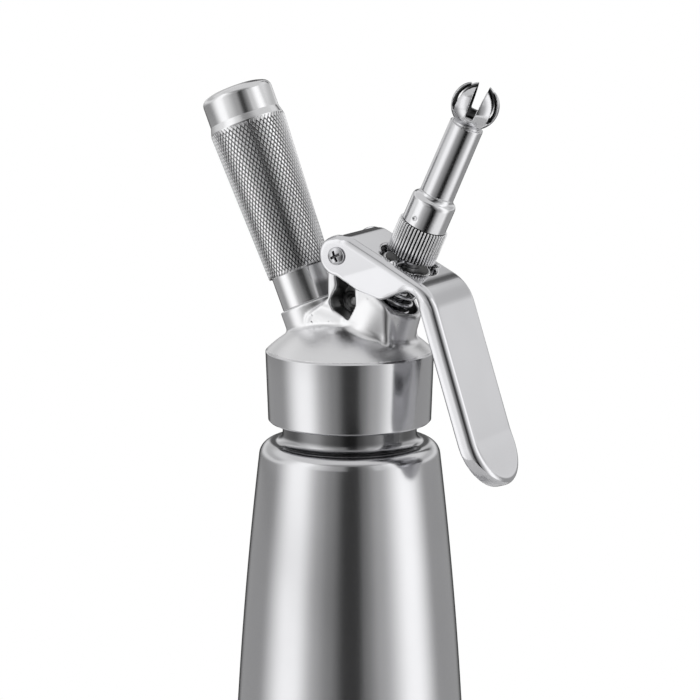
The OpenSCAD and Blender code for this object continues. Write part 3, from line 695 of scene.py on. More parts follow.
# %% The casting as one rule
BRANCH_R, TOWER_TAPER, TOWER_L = 12.0, 0.13, 22.2
TOP_FOOT_Z, TOP_FOOT_R = 236.2, 30.35
CHAMBER_R, SEAT_R, SEAT_L = 9.9, 8.5, -1.5
SOCKET_R, SOCKET_FOOT, GAS_WAY_R, SCREW_BORE_R = 7.05, 5.0, 1.5, 2.05
WEB_HOLE_STEPS = ((3.8, 1.8), (2.7, 1.1), (1.5, -1.0))
HOLLOW_RUN, HOLLOW_RISE, HOLLOW_LEN, HOLLOW_R = 0.961, -0.276, 10.4, 2.9


def casting(x, y, z):
    side = np.abs(y)
    dome = np.sqrt(x * x + y * y + (z - DOME_Z) ** 2) - DOME_R
    front = (x - FRONT_X) * 0.999 + (z - 250.0) * 0.035
    block = both(both(side - BLOCK_HALF_W, front, 2.4), block_side(x, z), 0.9)
    valve_r, valve_l = along(ON_VALVE, x, y, z)
    port_r, port_l = along(ON_PORT, x, y, z)
    tower = both(valve_r - BRANCH_R - TOWER_TAPER * (TOWER_L - valve_l), valve_l - TOWER_L, 1.6)
    boss = both(port_r - BRANCH_R, port_l - BOSS_LEN, 0.5)
    meet = 1.2 * np.clip(dome / 3.0, 0, 1)
    solid = join(join(dome, block, 1.3), join(dome, tower, 2.2), meet)
    solid = join(solid, join(dome, boss, 1.3), meet)
    solid = np.maximum(solid, TOP_FOOT_Z - z)
    solid = np.maximum(solid, np.hypot(x, y) - TOP_FOOT_R)
    # pockets with a stepped hole in the web between them
    pocket = np.maximum(pocket_side(x, z), 2.5 - side)
    web_r = np.hypot(x - 2.2, z - SKIRT_Z - 44.6)
    for radius, depth in WEB_HOLE_STEPS:
        step = np.maximum(web_r - radius, np.maximum(depth - side, side - 4.0))
        pocket = np.minimum(pocket, step)
    solid = cut(solid, pocket, 0.6)
    # spring chamber, stem bore and the recess of the seat
    solid = cut(solid, rod(valve_r, valve_l, CHAMBER_R, FLOOR_L, 60.0), 0.5)
    solid = np.maximum(solid, -rod(valve_r, valve_l, STEM_FIT_R, -4.0, 12.0))
    solid = np.maximum(solid, -rod(valve_r, valve_l, SEAT_R, -20.0, SEAT_L))
    # socket of the gas inlet and its way down
    solid = np.maximum(solid, -rod(port_r, port_l, SOCKET_R, SOCKET_FOOT, 30.0))
    solid = np.maximum(solid, -rod(port_r, port_l, GAS_WAY_R, -10.0, 6.0))
    # bores of the pivot screws
    bore = np.maximum(np.hypot(x - PIVOT[0], z - PIVOT[1]) - SCREW_BORE_R, 4.0 - side)
    solid = np.maximum(solid, -bore)
    # a shallow hollow beside the boss, round a short sloping line
    u, v = x + 7.4, z - SKIRT_Z - 43.4
    t = np.clip(u * HOLLOW_RUN + v * HOLLOW_RISE, 0, HOLLOW_LEN)
    off_line = (u - HOLLOW_RUN * t) ** 2 + (v - HOLLOW_RISE * t) ** 2
    hollow = np.sqrt(off_line + (side - 14.1) ** 2) - HOLLOW_R
    return cut(solid, hollow, 0.8)


points, faces = surface_net(casting, (-31.5, -31.5, 235.4), (32.5, 31.5, 283), 0.5)
piece("head_top", points, faces, cast_steel, "head", ["head_casting"])

# %% The skirt, turned and finely brushed
skirt = [
    (29.5, SKIRT_Z, 0.0),
    (30.1, SKIRT_Z + 0.6, 0.3),
    (SKIRT_TOP_R, SKIRT_TOP_Z, 0.35),
]
skirt += [(r, DOME_Z + math.sqrt(DOME_R**2 - r * r), 0) for r in (30.6, 30.3)]
skirt += [
    (29.6, 237.2, 0),
    (20.5, 236.0, 0.2),
    (20.5, 232.7, 0.2),
    (26.6, 232.7, 0.2),
    (26.6, SKIRT_Z + 1, 0.1),
    (27.6, SKIRT_Z, 0.1),
]
points, faces = lathe(soften(skirt, 0.2), 192)
piece("head_skirt", points, faces, skirt_steel, "head", flat_angle=40)

# %% [markdown]
# ## The lever
# The lever is a channel: two arms with round ears, joined by a top plate that bends down into a
# long, thick paddle with a round end that kicks outward. The top plate is open round the nozzle.
# Its outer edges are rolled round, which gives the bright and dark lines along it. It is drawn in
# the paddle's own frame: u square to the paddle, v up along it.

# %% The lever's outline
ARM_IN, ARM_OUT, EAR_R, ARM_RISE = 12.42, 15.42, 7.4, 8.233
REACH, PLATE, PADDLE_LEN, PADDLE_HALF_W = 33.3, 6.7, 95.7, 16.3
TOP_PLATE, KICK_V, KICK, BEND_R = 1.7, -77.0, 0.17, 17.0
END_V = PADDLE_HALF_W - PADDLE_LEN
PADDLE_LEAN, ARM_FALL = math.radians(18.1), math.radians(27.1)
edge_angle = ARM_FALL + PADDLE_LEAN
lean_cos, lean_sin = math.cos(PADDLE_LEAN), math.sin(PADDLE_LEAN)


def from_side(x, z, rounding=0.0):
    return (x * lean_cos + z * lean_sin, z * lean_cos - x * lean_sin, rounding)


def on_top_edge(u):
    return (ARM_RISE - u * math.sin(edge_angle)) / math.cos(edge_angle)


arm_side = outline(
    soften(
        [
            (-EAR_R * 0.5, -EAR_R * 0.8, 0),
            (0, EAR_R * 0.97, 0),
            (ARM_RISE * math.sin(edge_angle), ARM_RISE * math.cos(edge_angle), 6),
            (REACH, on_top_edge(REACH), BEND_R),
            (REACH, -PADDLE_LEN - 3, 0),
            (REACH - PLATE, -PADDLE_LEN - 3, 0),
            (REACH - PLATE, -18.3, 6.5),
            from_side(18.4, -14.8, 4),
            from_side(7.8, -11.9, 5),
        ],
        steps=12,
    )
)
top_bend = (REACH, on_top_edge(REACH), BEND_R)
top_corners = [(-60, -150, 0), (-60, on_top_edge(-60), 0), top_bend, (REACH, -150, 0)]
top_side = outline(soften(top_corners, steps=12))
PRONG_L, PRONG_R, PRONG_IN = 39.15, 1.15, 5.3
prong = ON_VALVE @ Vector((0, 0, PRONG_L))
prong_u, prong_v, _ = from_side(prong.x - PIVOT[0], prong.z - PIVOT[1])
prong_a = prong_u * math.cos(edge_angle) - prong_v * math.sin(edge_angle)
POST_ROOM_R, EAR_BORE_R = 6.15, 2.55
SLOT_MIDDLE, SLOT_HALF_L, SLOT_HALF_W, OPENING_R = 20.0, 7.5, 11.2, 10.9


def lever_rule(u, y, v):
    side = np.abs(y)
    drop = np.maximum(KICK_V - v, 0)
    u = u - KICK * (np.hypot(drop, 4.0) - 4.0)
    half_w = ARM_OUT + (PADDLE_HALF_W - ARM_OUT) * np.clip((-8 - v) / 16, 0, 1)
    width = np.where(v < END_V, np.hypot(y, v - END_V) - PADDLE_HALF_W, side - half_w)
    flank = np.minimum(arm_side(u, v), np.hypot(u, v) - EAR_R)
    depth = top_side(u, v)
    solid = both(flank, width, 1.0 + 1.8 * np.clip((depth + 6.5) / 3.0, 0, 1))
    # hollow below the top plate, down to the paddle's inner face, and round the casting's post
    hollow = np.maximum(depth + TOP_PLATE, u - REACH + PLATE)
    hollow = np.minimum(hollow, np.hypot(u, v) - POST_ROOM_R)
    solid = cut(solid, np.maximum(side - ARM_IN, hollow), 0.5)
    # opening of the top plate round the nozzle
    level = u * math.cos(edge_angle) - v * math.sin(edge_angle)
    slot = both(np.abs(level - SLOT_MIDDLE) - SLOT_HALF_L, side - SLOT_HALF_W, 1.5)
    opening = np.minimum(slot, np.hypot(level - prong_a, y) - OPENING_R)
    solid = cut(solid, np.maximum(opening, -8.0 - depth), 0.5)
    pin = rod(np.hypot(u - prong_u, v - prong_v), side, PRONG_R, PRONG_IN, ARM_IN + 1, 0.3)
    solid = join(solid, pin, 0.2)
    return np.maximum(solid, EAR_BORE_R - np.hypot(u, v))


points, faces = surface_net(lever_rule, (-9, -17.5, -97), (38.5, 17.5, 12), 0.5)
IN_PADDLE = Matrix.Translation((PIVOT[0], 0, PIVOT[1])) @ Matrix.Rotation(-PADDLE_LEAN, 4, "Y")
piece("lever_plate", points, faces, polished_steel, "lever", ["lever"], IN_PADDLE)

# %% [markdown]
# ## Pivot screws
# A shoulder screw turns in each ear. Its domed head stands proud of the arm, and the driver's
# cross narrows towards its floor, as a pressed recess does.

# %% Screw heads with a cross recess
HEAD_FOOT, HEAD_R, HEAD_H, HEAD_RISE = ARM_OUT + 0.05, 3.3, 1.7, 0.9
HEAD_TOP = HEAD_FOOT + HEAD_H
CROWN_R = (HEAD_R**2 + HEAD_RISE**2) / (2 * HEAD_RISE)
CROSS_TURN, CROSS_DEPTH, CROSS_REACH, CROSS_HALF_W = math.radians(25), 1.1, 2.2, 0.46
SHOULDER_R, THREAD_END_R, SHOULDER_FOOT, SCREW_FOOT = 2.5, 2.0, 12.0, 6.0


def screw_rule(x, y, l):
    dome = np.sqrt(x * x + y * y + (l - HEAD_TOP + CROWN_R) ** 2) - CROWN_R
    head = both(both(np.hypot(x, y) - HEAD_R, HEAD_FOOT - l, 0.1), dome, 0.3)
    across = np.abs(x * math.cos(CROSS_TURN) + y * math.sin(CROSS_TURN))
    up = np.abs(y * math.cos(CROSS_TURN) - x * math.sin(CROSS_TURN))
    taper = (HEAD_TOP - l) * 0.35
    wing = np.minimum(
        np.maximum(across - CROSS_HALF_W + taper * 0.3, up - CROSS_REACH + taper),
        np.maximum(up - CROSS_HALF_W + taper * 0.3, across - CROSS_REACH + taper),
    )
    cross = np.maximum(wing, HEAD_TOP - CROSS_DEPTH - l)
    r = np.hypot(x, y)
    shoulder = rod(r, l, SHOULDER_R, SHOULDER_FOOT, HEAD_FOOT + 0.1)
    threaded = rod(r, l, THREAD_END_R, SCREW_FOOT, SHOULDER_FOOT + 0.1)
    return np.minimum(cut(head, cross, 0.1), np.minimum(shoulder, threaded))


def cross_shade(tree, place):
    """Painted shade: 1 below the domed head's own surface, so in the cross."""
    x, y, z = millimetres(tree, place)
    off = span(x - PIVOT[0], z - PIVOT[1])
    sunk = off * off * (-0.5 / CROWN_R) + HEAD_TOP - y.math("ABSOLUTE")
    return sunk.ramp(0.12, 0.4, 0.0, 0.95) * off.ramp(CROSS_REACH, 2.5, 1.0, 0.0)


screw_steel = steel(
    "screw_steel",
    (0.62, 0.62, 0.64),
    0.14,
    900.0,
    worked="polished",
    bump=0.03,
    dark=cross_shade,
)
points, faces = surface_net(screw_rule, (-3.6, -3.6, 5.7), (3.6, 3.6, 17.4), 0.16)
for name, turn, flip in (("pivot_screw_near", 90, 1), ("pivot_screw_far", -90, -1)):
    lean = Matrix.Translation((PIVOT[0], 0, PIVOT[1])) @ Matrix.Rotation(math.radians(turn), 4, "X")
    facing = faces if flip > 0 else [f[::-1] for f in faces]
    nodes = ["pivot_screws"] if flip > 0 else []
    piece(name, points * (1, flip, 1), facing, screw_steel, "head", nodes, lean)

# %% [markdown]
# ## The charger holder
# The holder's grip is knurled: two sets of helical grooves leave rows of small, flat-topped
# pyramids. One is made from listed points, and Geometry Nodes set thousands of them round the tapered
# grip.
# A plain ring ends the holder below, and a plain cap with a crowned top closes it above.

# %% The holder's core, ring and cap
RING_R, GRIP_R, GRIP_TOP_R, CAP_R, HOLDER_BORE_R = 10.8, 11.95, 14.3, 13.3, 9.38
CAP_BEVEL, CAP_H, END_T, KNURL = 2.5, 9.1, 7.4, 0.32
RING_TOP = BOSS_LEN + 12.7
GRIP_TOP = RING_TOP + 57.6
HOLDER_TOP = GRIP_TOP + CAP_BEVEL + CAP_H
HOLDER_FLOOR = HOLDER_TOP - END_T
holder = [
    (RING_R - 0.4, BOSS_LEN, 0.2),
    (RING_R, BOSS_LEN + 0.4, 0.2),
    (RING_R, RING_TOP, 0.3),
    (GRIP_R - KNURL - 0.3, RING_TOP, 0.1),
    (GRIP_R - KNURL, RING_TOP + 0.5, 0.1),
    (GRIP_TOP_R - KNURL, GRIP_TOP - 0.5, 0.1),
    (GRIP_TOP_R - 0.25, GRIP_TOP, 0.3),
    (CAP_R, GRIP_TOP + CAP_BEVEL, 0.5),
    (CAP_R, HOLDER_TOP + 0.9, 3.0),
    (9.0, HOLDER_TOP + 2.3, 6.0),
    (0, HOLDER_TOP + 2.8, 0),
    (0, HOLDER_FLOOR, 0),
]
holder += arc((0, HOLDER_FLOOR - HOLDER_BORE_R), HOLDER_BORE_R, 88, 0, 10)
holder += [(HOLDER_BORE_R, BOSS_LEN + 0.6, 0.1), (HOLDER_BORE_R + 0.6, BOSS_LEN, 0.1)]
points, faces = lathe(soften(holder), 144)
piece("holder_body", points, faces, port_steel, "holder", ["charger_holder"], ON_PORT, 40)


# %% Copies of one object, each set at its angle round the axis
def set_round(tree, count, thing, radius, angle, level, scale=(1.0, 1.0, 1.0)):
    """Instances of a thing that stands along X, turned to face away from the Z axis."""
    points = tree.add("GeometryNodePoints", None, {"Count": count})
    x, y = radius * angle.math("COSINE"), radius * angle.math("SINE")
    where = tree.add("ShaderNodeCombineXYZ", None, {"X": x, "Y": y, "Z": level})
    placed = tree.add("GeometryNodeSetPosition", None, {0: points, "Position": where})
    shape = tree.add("GeometryNodeObjectInfo", None, {"Object": thing}, output="Geometry")
    turn = tree.add("ShaderNodeCombineXYZ", None, {"Z": angle})
    inputs = {"Points": placed, "Instance": shape, "Rotation": turn, "Scale": scale}
    return tree.add("GeometryNodeInstanceOnPoints", None, inputs)


# %% One knurl pyramid, and the tree that repeats it
STUD_TOP, STUD_OVERLAP = 0.60, 1.04


def knurl_stud():
    """A flat-topped pyramid on a diamond foot, one unit across, standing along X."""
    foot = [(0, -0.5, 0), (0, 0, -0.5), (0, 0.5, 0), (0, 0, 0.5)]
    points = foot + [(1, y * STUD_TOP, z * STUD_TOP) for _, y, z in foot]
    faces = [[k, (k + 1) % 4, (k + 1) % 4 + 4, k + 4] for k in range(4)] + [[4, 5, 6, 7]]
    mesh = bpy.data.meshes.new("knurl_stud")
    mesh.from_pydata(points, [], faces)
    return bpy.data.objects.new("knurl_stud", mesh)


def knurled(tree, size):
    """Rows of studs round a cone, each second row half a step further round."""
    number = tree.add("GeometryNodeInputIndex")
    row = (number / size["Columns"]).math("FLOOR")
    column = number - row * size["Columns"]
    odd = row.math("MODULO", 2.0)
    angle = (column + odd * 0.5) * (2 * math.pi) / size["Columns"]
    share = (row + 0.5) / size["Rows"]
    radius = size["Foot radius"] + (size["Top radius"] - size["Foot radius"]) * share
    level = size["Foot"] + size["Length"] * share
    wide = radius * (2 * math.pi * STUD_OVERLAP) / size["Columns"]
    tall = size["Length"] * (2 * STUD_OVERLAP) / size["Rows"]
    scale = tree.add("ShaderNodeCombineXYZ", None, {"X": size["Height"], "Y": wide, "Z": tall})
    count = size["Columns"] * size["Rows"]
    return set_round(tree, count, size["Stud"], radius, angle, level, scale)


def knurl_valley_shade(tree, place):
    """Painted shade: 1 in the valleys of the knurl and 0 on its crests, which lie on a cone."""
    x, y, level = millimetres(tree, place)
    slope = (GRIP_TOP_R - GRIP_R) / (GRIP_TOP - RING_TOP)
    sunk = (level - RING_TOP) * slope + GRIP_R - span(x, y)
    return sunk.ramp(0.2 * KNURL, 0.8 * KNURL)


knurl_steel = steel(
    "knurl_steel", (0.80, 0.80, 0.81), 0.22, 3000.0, lean=ON_PORT, bump=0.05, dark=knurl_valley_shade
)
grown(
    "holder_knurl",
    knurled,
    {
        "Columns": (WHOLE, 57),
        "Rows": (WHOLE, 42),
        "Foot radius": (FLOAT, GRIP_R - KNURL - 0.03),
        "Top radius": (FLOAT, GRIP_TOP_R - KNURL - 0.03),
        "Foot": (FLOAT, RING_TOP + 0.5),
        "Length": (FLOAT, 56.4),
        "Height": (FLOAT, KNURL + 0.02),
        "Stud": (OBJECT, knurl_stud()),
    },
    knurl_steel,
    "holder",
    lean=ON_PORT,
)

# %% [markdown]
# ## Collar and nut
# The nozzle's collar and the stem's nut have straight ribs for the fingers. A rib is one small
# rounded bar, and the same kind of tree sets it round the axis.


# %% A ribbed ring
def rib_bar(name, length, width, height, bevel):
    """A bar along Z whose back is sunk into the ring and whose ends slope down."""
    half = [(-0.4, 0.28), (height * 0.4, 0.27), (height * 0.75, 0.22), (height * 0.95, 0.12)]
    section = [(r, -width * y) for r, y in half] + [(height, 0.0)]
    section += [(r, width * y) for r, y in reversed(half)]
    levels = [(0.0, -bevel), (bevel, 0.0), (length - bevel, 0.0), (length, -bevel)]
    points = [(r + drop, y, z) for z, drop in levels for r, y in section]
    n = len(section)
    faces = [
        [i * n + k, i * n + (k + 1) % n, (i + 1) * n + (k + 1) % n, (i + 1) * n + k]
        for i in range(len(levels) - 1)
        for k in range(n)
    ]
    faces += [list(range(n))[::-1], [(len(levels) - 1) * n + k for k in range(n)]]
    mesh = bpy.data.meshes.new(name)
    mesh.from_pydata(points, [], faces)
    mesh.shade_smooth()
    mesh.set_sharp_from_angle(angle=math.radians(60))
    return bpy.data.objects.new(name, mesh)


def ribbed(tree, size):
    """Copies of one bar set evenly round the axis."""
    angle = tree.add("GeometryNodeInputIndex") * (2 * math.pi) / size["Ribs"]
    return set_round(tree, size["Ribs"], size["Bar"], size["Radius"], angle, size["Foot"])


RIBS, RIB_H = 44, 0.6


def ribbed_ring(name, radius, bore, low, high, body, node):
    """A ring painted nearly black as shade between its ribs, with bevelled ends and bright ribs that
    stand on it.
    """
    root = radius - RIB_H
    core = [
        (bore, low),
        (root - 0.5, low, 0.3),
        (root, low + 0.6),
        (root, high - 0.6),
        (root - 0.5, high, 0.3),
        (bore, high),
    ]
    points, faces = lathe(soften(core, 0.2), 128)
    piece(name, points, faces, groove_shade_steel, body, [node], ON_VALVE, 40)
    pitch = 2 * math.pi * radius / RIBS
    bar = rib_bar(name + "_bar", high - low - 0.5, pitch * 0.92, RIB_H, 0.35)
    grown(
        name + "_ribs",
        ribbed,
        {
            "Ribs": (WHOLE, RIBS),
            "Radius": (FLOAT, root),
            "Foot": (FLOAT, low + 0.25),
            "Bar": (OBJECT, bar),
        },
        rib_steel,
        body,
        lean=ON_VALVE,
    )


COLLAR_L, COLLAR_TOP, NUT_L, NUT_TOP = 40.8, 53.8, 30.5, 37.7
ribbed_ring("collar_ring", 9.18, 8.275, COLLAR_L, COLLAR_TOP, "nozzle", "nozzle_collar")
ribbed_ring("nut_ring", 9.3, 4.425, NUT_L, NUT_TOP, "valve", "stem_nut")

# %% [markdown]
# ## The nozzle
# A wide tube with a soft shoulder carries a narrow tube, which ends in a short neck below a
# hollow ball. Six wedge-shaped slots in the ball give the cream its star shape. A punch mark on
# the wide tube, just above the collar, keeps the collar in place.

# %% The adapter with its punch mark
ADAPTER_R, SHOULDER_H, TIP_R, TIP_END_R = 8.25, 3.4, 6.35, 6.2
ADAPTER_TOP = COLLAR_TOP + 12.3
shoulder_turn = 2 * math.atan((ADAPTER_R - TIP_R) / SHOULDER_H)
edge_r = 0.45 * SHOULDER_H / math.sin(shoulder_turn)
hollow_r = 0.55 * SHOULDER_H / math.sin(shoulder_turn)
turn_deg = math.degrees(shoulder_turn)
adapter_side = outline(
    [(-5, COLLAR_L), (ADAPTER_R, COLLAR_L)]
    + arc((ADAPTER_R - edge_r, ADAPTER_TOP - SHOULDER_H), edge_r, 0, turn_deg, 24)
    + arc((TIP_R + hollow_r, ADAPTER_TOP), hollow_r, 180 + turn_deg, 180, 24)[1:]
    + [(-5, ADAPTER_TOP)]
)
MARK_L, MARK_R = COLLAR_TOP + 2.7, 1.05
mark_x, mark_y, _ = arc((0, 0), 8.75, -97, 0, 1)[0]
SOCKET_TOP, PASSAGE_R, SPIGOT_R, SPIGOT_LEN = 50.0, 2.8, 5.0, 9.0


def adapter_rule(x, y, l):
    r = np.hypot(x, y)
    solid = adapter_side(r, l)
    # socket of the stem, passage of the cream and socket of the tip
    solid = np.maximum(solid, -rod(r, l, STEM_FIT_R, 0, SOCKET_TOP))
    solid = np.maximum(solid, -rod(r, l, PASSAGE_R, 0, 90.0))
    solid = np.maximum(solid, -rod(r, l, SPIGOT_R + 0.025, ADAPTER_TOP - SPIGOT_LEN, 90.0))
    dimple = np.sqrt((x - mark_x) ** 2 + (y - mark_y) ** 2 + (l - MARK_L) ** 2) - MARK_R
    return cut(solid, dimple, 0.25)


points, faces = surface_net(adapter_rule, (-9, -9, COLLAR_L - 1), (9, 9, ADAPTER_TOP + 1), 0.36)
piece("adapter_tube", points, faces, valve_steel, "nozzle", ["nozzle_adapter"], ON_VALVE)

# %% The tip with its slotted ball
BALL_L, BALL_R, BALL_WALL, TIP_BORE = ADAPTER_TOP + 35.5, 8.6, 1.5, 4.3
BALL_NECK_R, NECK_LEN, MOUTH_H, SLOT_TURN = 5.1, 0.9, BALL_R - 1.3, math.radians(-10.5)
SLOT_FOOT, SLOT_DROP, SLOT_MOUTH, SLOTS = 1.4, 3.3, 2.1, 6
tube_end = BALL_L - math.sqrt(BALL_R**2 - BALL_NECK_R**2) - NECK_LEN
slot_corners = [
    (-SLOT_FOOT, -SLOT_DROP, 0.6),
    (SLOT_FOOT, -SLOT_DROP, 0.6),
    (SLOT_MOUTH, MOUTH_H, 0),
    (SLOT_MOUTH, 12, 0),
    (-SLOT_MOUTH, 12, 0),
    (-SLOT_MOUTH, MOUTH_H, 0),
]
slot_side = outline(soften(slot_corners))


def tip_rule(x, y, l):
    r = np.hypot(x, y)
    slim = (l - ADAPTER_TOP) * (TIP_R - TIP_END_R) / (tube_end - ADAPTER_TOP)
    tube = both(both(r - TIP_R + slim, ADAPTER_TOP - l, 0.1), l - tube_end, 0.15)
    neck = rod(r, l, BALL_NECK_R, ADAPTER_TOP, BALL_L - 4)
    spigot = rod(r, l, SPIGOT_R, ADAPTER_TOP - SPIGOT_LEN, ADAPTER_TOP + 1, 0.2)
    centre = np.sqrt(x * x + y * y + (l - BALL_L) ** 2)
    ball = both(centre - BALL_R, l - BALL_L - MOUTH_H, 0.2)
    solid = np.minimum(np.minimum(tube, spigot), join(neck, ball, 0.15))
    hollow = join(centre - BALL_R + BALL_WALL, rod(r, l, TIP_BORE, 0, BALL_L), 0.4)
    solid = cut(solid, hollow, 0.12)
    sector = 2 * math.pi / SLOTS
    angle = np.arctan2(y, x) - SLOT_TURN
    folded = angle - sector * np.round(angle / sector)
    return cut(solid, slot_side(r * np.sin(folded), l - BALL_L), 0.14)


def ball_inside_shade(tree, place):
    """Painted shade: 1 well inside the ball and 0 on its skin."""
    x, y, level = millimetres(tree, place)
    inwards = span(span(x, y), level - BALL_L) * -1.0
    return inwards.ramp(0.1 - BALL_R, 0.7 - BALL_R)


tip_steel = steel("tip_steel", STEEL, 0.15, 3000.0, lean=ON_VALVE, bump=0.08, dark=ball_inside_shade)
points, faces = surface_net(tip_rule, (-9.2, -9.2, ADAPTER_TOP - 10), (9.2, 9.2, BALL_L + 9.2), 0.28)
piece("star_tip", points, faces, tip_steel, "nozzle", ["nozzle_tip"], ON_VALVE)

# %% [markdown]
# ## The valve spring
# The return spring shows through the open tower. It shortens as the lever is pressed; here it is
# one fixed mesh, wound at its resting length between the chamber's floor and the nut.

# %% The wound spring
SPRING_R, WIRE_R, SPRING_TURNS, SPRING_PLAY = 7.2, 0.7, 6.0, 0.75
spring_len = NUT_L - FLOOR_L - 2 * SPRING_PLAY
spring = grown(
    "return_spring",
    wound,
    winding(SPRING_R, FLOOR_L + SPRING_PLAY, spring_len, SPRING_TURNS, WIRE_R, 64, 14),
    polished_steel,
    "head",
    ["valve_spring"],
    ON_VALVE,
)
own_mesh(spring)

# %% [markdown]
# ## Finishes for the solids that stay
# Small inner parts are right as they are in the solid model. They only need their finish.

# %% Dress the remaining solids
kept = {
    "head_gasket": black_rubber,
    "gas_inlet": port_steel,
    "inlet_strainer": sieve_brass,
    "piercing_pin": port_steel,
    "pin_seal": white_plastic,
    "check_valve": red_rubber,
    "gas_charger": zinc,
    "valve_stem": valve_steel,
    "valve_seal": black_rubber,
    "stem_o_rings": black_rubber,
    "nozzle_washer": black_rubber,
    "tip_seal": black_rubber,
}
for node, material in kept.items():
    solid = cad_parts[node]
    solid.data.materials.clear()
    solid.data.materials.append(material)
print("solids kept:", sorted(kept))

# %% [markdown]
# ## The studio
# Polished steel shows its surroundings, so the picture is made by what stands around it. The
# dispenser stands on a small pale table inside a round tent. Seen from the dispenser, the tent is
# nearly black where the camera looks in, with a narrow, quite black gap low down, and brightens
# in soft steps to a tall panel on each side. High up, the bright cloth comes further in. Behind,
# it is plain grey, with darker edges, one dark stripe and a dark seam, which draw thin lines on
# round steel. The roof dims towards the camera. Camera rays don't see any of it, so that every
# view has the same white background.

# %% Camera at the photograph's angle
AZIMUTH, ELEVATION, DISTANCE = 28.43, 10.43, 1.019
target = Vector((0, 0, 0.237))
az, el = math.radians(AZIMUTH), math.radians(ELEVATION)
back = Vector((math.sin(az) * math.cos(el), -math.cos(az) * math.cos(el), math.sin(el)))
camera = bpy.data.objects.new("camera", bpy.data.cameras.new("camera"))
bpy.context.scene.collection.objects.link(camera)
camera.data.lens = 142.5
camera.data.sensor_width = 36
camera.data.shift_x, camera.data.shift_y = 0.0004, 0.0043
camera.location = target + back * DISTANCE
camera.rotation_mode = "QUATERNION"
camera.rotation_quaternion = (-back).to_track_quat("-Z", "Y")
bpy.context.scene.camera = camera


# %% A glowing cloth whose brightness depends on the direction from the dispenser
PANEL_RIGHT = [(9.0, 17.0, 0.17), (17.0, 34.0, 0.25), (34.0, 68.0, 0.86), (74.0, 106.0, -0.95)]
PANEL_LEFT = [(5.0, 22.0, 0.23), (22.0, 38.0, 0.20), (35.0, 61.0, 0.80), (70.0, 108.0, -0.91)]
UPPER_RIGHT = [(24.0, 34.0, 0.70)]
UPPER_LEFT = [(-2.0, 12.0, 0.40), (15.0, 50.0, 0.50)]
DIMMEST = 0.043


def soft_steps(signal, steps):
    """The sum of soft steps, each (from, to, rise)."""
    first, *rest = [signal.ramp(low, high, 0.0, rise) for low, high, rise in steps]
    return sum(rest, first)


def tent_glow(tree, place):
    """Brightness by the angle from the camera's direction, in degrees, and by height in metres."""
    x, y, high = coordinates(tree, place)
    turned = x.math("ARCTAN2", y * -1.0) * (180 / math.pi) - AZIMUTH
    wrapped = ((turned + 180.0) / 360.0).math("FRACT") * 360.0 - 180.0
    other = wrapped * -1.0
    aside = wrapped.math("ABSOLUTE")
    behind = aside.ramp(90.0, 106.0)
    # two side panels, the left one with a dimmer band
    left = soft_steps(other, PANEL_LEFT)
    left = left * (1.0 - high.ramp(-0.01, 0.02) * high.ramp(0.07, 0.11, 0.2, 0.0))
    glow = soft_steps(wrapped, PANEL_RIGHT) + left + DIMMEST
    # high up, the cloth is bright further in
    upper = soft_steps(other, UPPER_LEFT) + soft_steps(wrapped, UPPER_RIGHT)
    away = high.ramp(0.32, 0.45)
    glow = glow + (1.0 - behind) * away * (glow.math("MAXIMUM", upper) - glow)
    # the grey cloth behind, darker low down and brightest at the top
    glow = glow * (1.0 - aside.ramp(146.0, 163.0, 0.0, 0.92) * high.ramp(0.28, 0.38, 1.0, 0.0))
    glow = glow + behind * (high.ramp(0.12, 0.36, 0.0, 0.45) - high.ramp(0.44, 0.62, 0.0, 0.25))
    glow = glow + behind * high.ramp(0.75, 1.1) * (0.85 - glow)
    # thin dark lines
    stripe = (wrapped.ramp(144.0, 149.0) - wrapped.ramp(155.0, 160.0)) * high.ramp(0.6, 0.75)
    seam = aside.ramp(168.0, 174.0) * high.ramp(0.2, 0.3)
    gap = (wrapped.ramp(-6.0, 0.0) - wrapped.ramp(12.0, 19.0)) * high.ramp(-0.30, -0.18, 0.8, 0.0)
    return glow * (1.0 - stripe * 0.85) * (1.0 - seam * 0.85) * (1.0 - gap)


def glowing_cloth(name, glow):
    """A cloth that gives light, as strong as glow says for each place."""
    material = bpy.data.materials.new(name)
    material.use_nodes = True
    tree = Tree(material.node_tree)
    tree.nodes.clear()
    place = tree.add("ShaderNodeTexCoord", output="Object")
    light = tree.add("ShaderNodeEmission", None, {"Strength": glow(tree, place)})
    out = tree.nodes.new("ShaderNodeOutputMaterial")
    tree.links.new(light.socket, out.inputs["Surface"])
    return material


# %% The round tent
def circle(radius, sides, level):
    angles = np.arange(sides) * (2 * math.pi / sides)
    return [(radius * math.cos(a), radius * math.sin(a), level) for a in angles]


def stage_piece(name, points, faces, material, seen=False):
    """A part of the studio, which camera rays see only if seen is true."""
    mesh = bpy.data.meshes.new(name)
    mesh.from_pydata(points, [], faces)
    mesh.materials.append(material)
    thing = bpy.data.objects.new(name, mesh)
    bpy.context.scene.collection.objects.link(thing)
    thing.visible_camera = seen
    print("studio:", name)


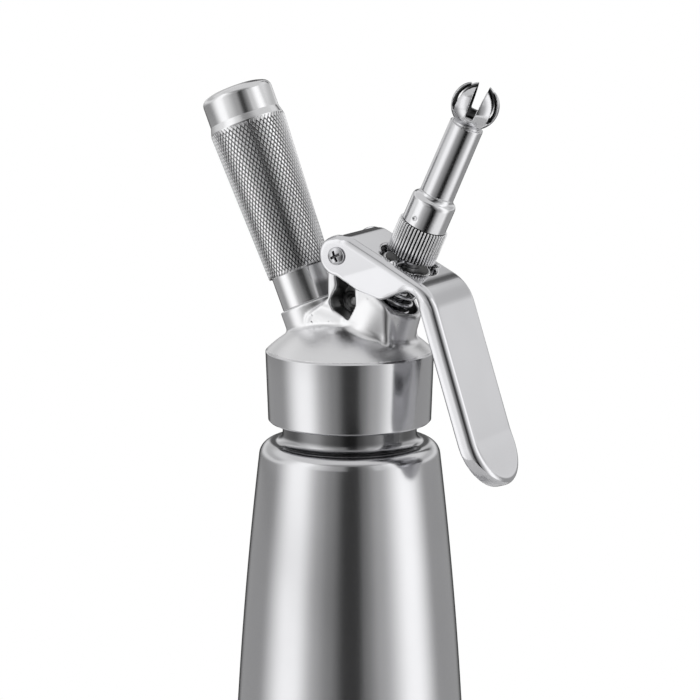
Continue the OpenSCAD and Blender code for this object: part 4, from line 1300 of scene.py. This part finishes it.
TENT_R, TENT_LOW, TENT_HIGH, SIDES = 1.3, -0.8, 1.5, 180
points = circle(TENT_R, SIDES, TENT_LOW) + circle(TENT_R, SIDES, TENT_HIGH)
faces = [[k, k + SIDES, (k + 1) % SIDES + SIDES, (k + 1) % SIDES] for k in range(SIDES)]
stage_piece("tent", points, faces, glowing_cloth("tent_cloth", tent_glow))


# %% The roof
def roof_glow(tree, place):
    """Brightness that falls off towards the camera."""
    inputs = {0: place, 1: back}
    towards = tree.add("ShaderNodeVectorMath", {"operation": "DOT_PRODUCT"}, inputs, output="Value")
    return towards.ramp(0.85, 1.25, 0.75, 0.30)


roof = circle(TENT_R * 1.01, SIDES, TENT_HIGH)
stage_piece("tent_roof", roof, [list(range(SIDES))[::-1]], glowing_cloth("roof_cloth", roof_glow))

# %% The table, its top just below the bottle's base
TABLE_R, TABLE_SIDES, TABLE_TOP = 0.32, 96, -0.0002
table_material, tree, shader = new_material("pale_table")
speck = noise(tree, place_of(tree), 90.0).ramp(-0.5, 0.5)
tree.feed(shader, "Base Color", paint(tree, (0.86, 0.86, 0.86), (0.82, 0.82, 0.82), speck))
shader.inputs["Roughness"].default_value = 0.7
table = circle(TABLE_R, TABLE_SIDES, TABLE_TOP)
stage_piece("table", table, [list(range(TABLE_SIDES))], table_material, seen=True)

# %% [markdown]
# The world is white for the camera and for what metal mirrors past the table's edge, and a little
# dimmer where it only gives light.

# %% The white background
world = bpy.data.worlds.new("white_room")
world.use_nodes = True
bpy.context.scene.world = world
tree = Tree(world.node_tree)
background = next(n for n in tree.nodes if n.type == "BACKGROUND")
background.inputs["Color"].default_value = (1, 1, 1, 1)
ray = tree.add("ShaderNodeLightPath", output="Is Camera Ray")
glossy = Signal(tree, ray.socket.node.outputs["Is Glossy Ray"])
through = Signal(tree, ray.socket.node.outputs["Is Transmission Ray"])
seen_plain = (ray + glossy + through).math("MINIMUM", 1.0)
tree.feed(background, "Strength", seen_plain * 0.4 + 0.6)
bpy.context.scene.view_settings.view_transform = "Standard"
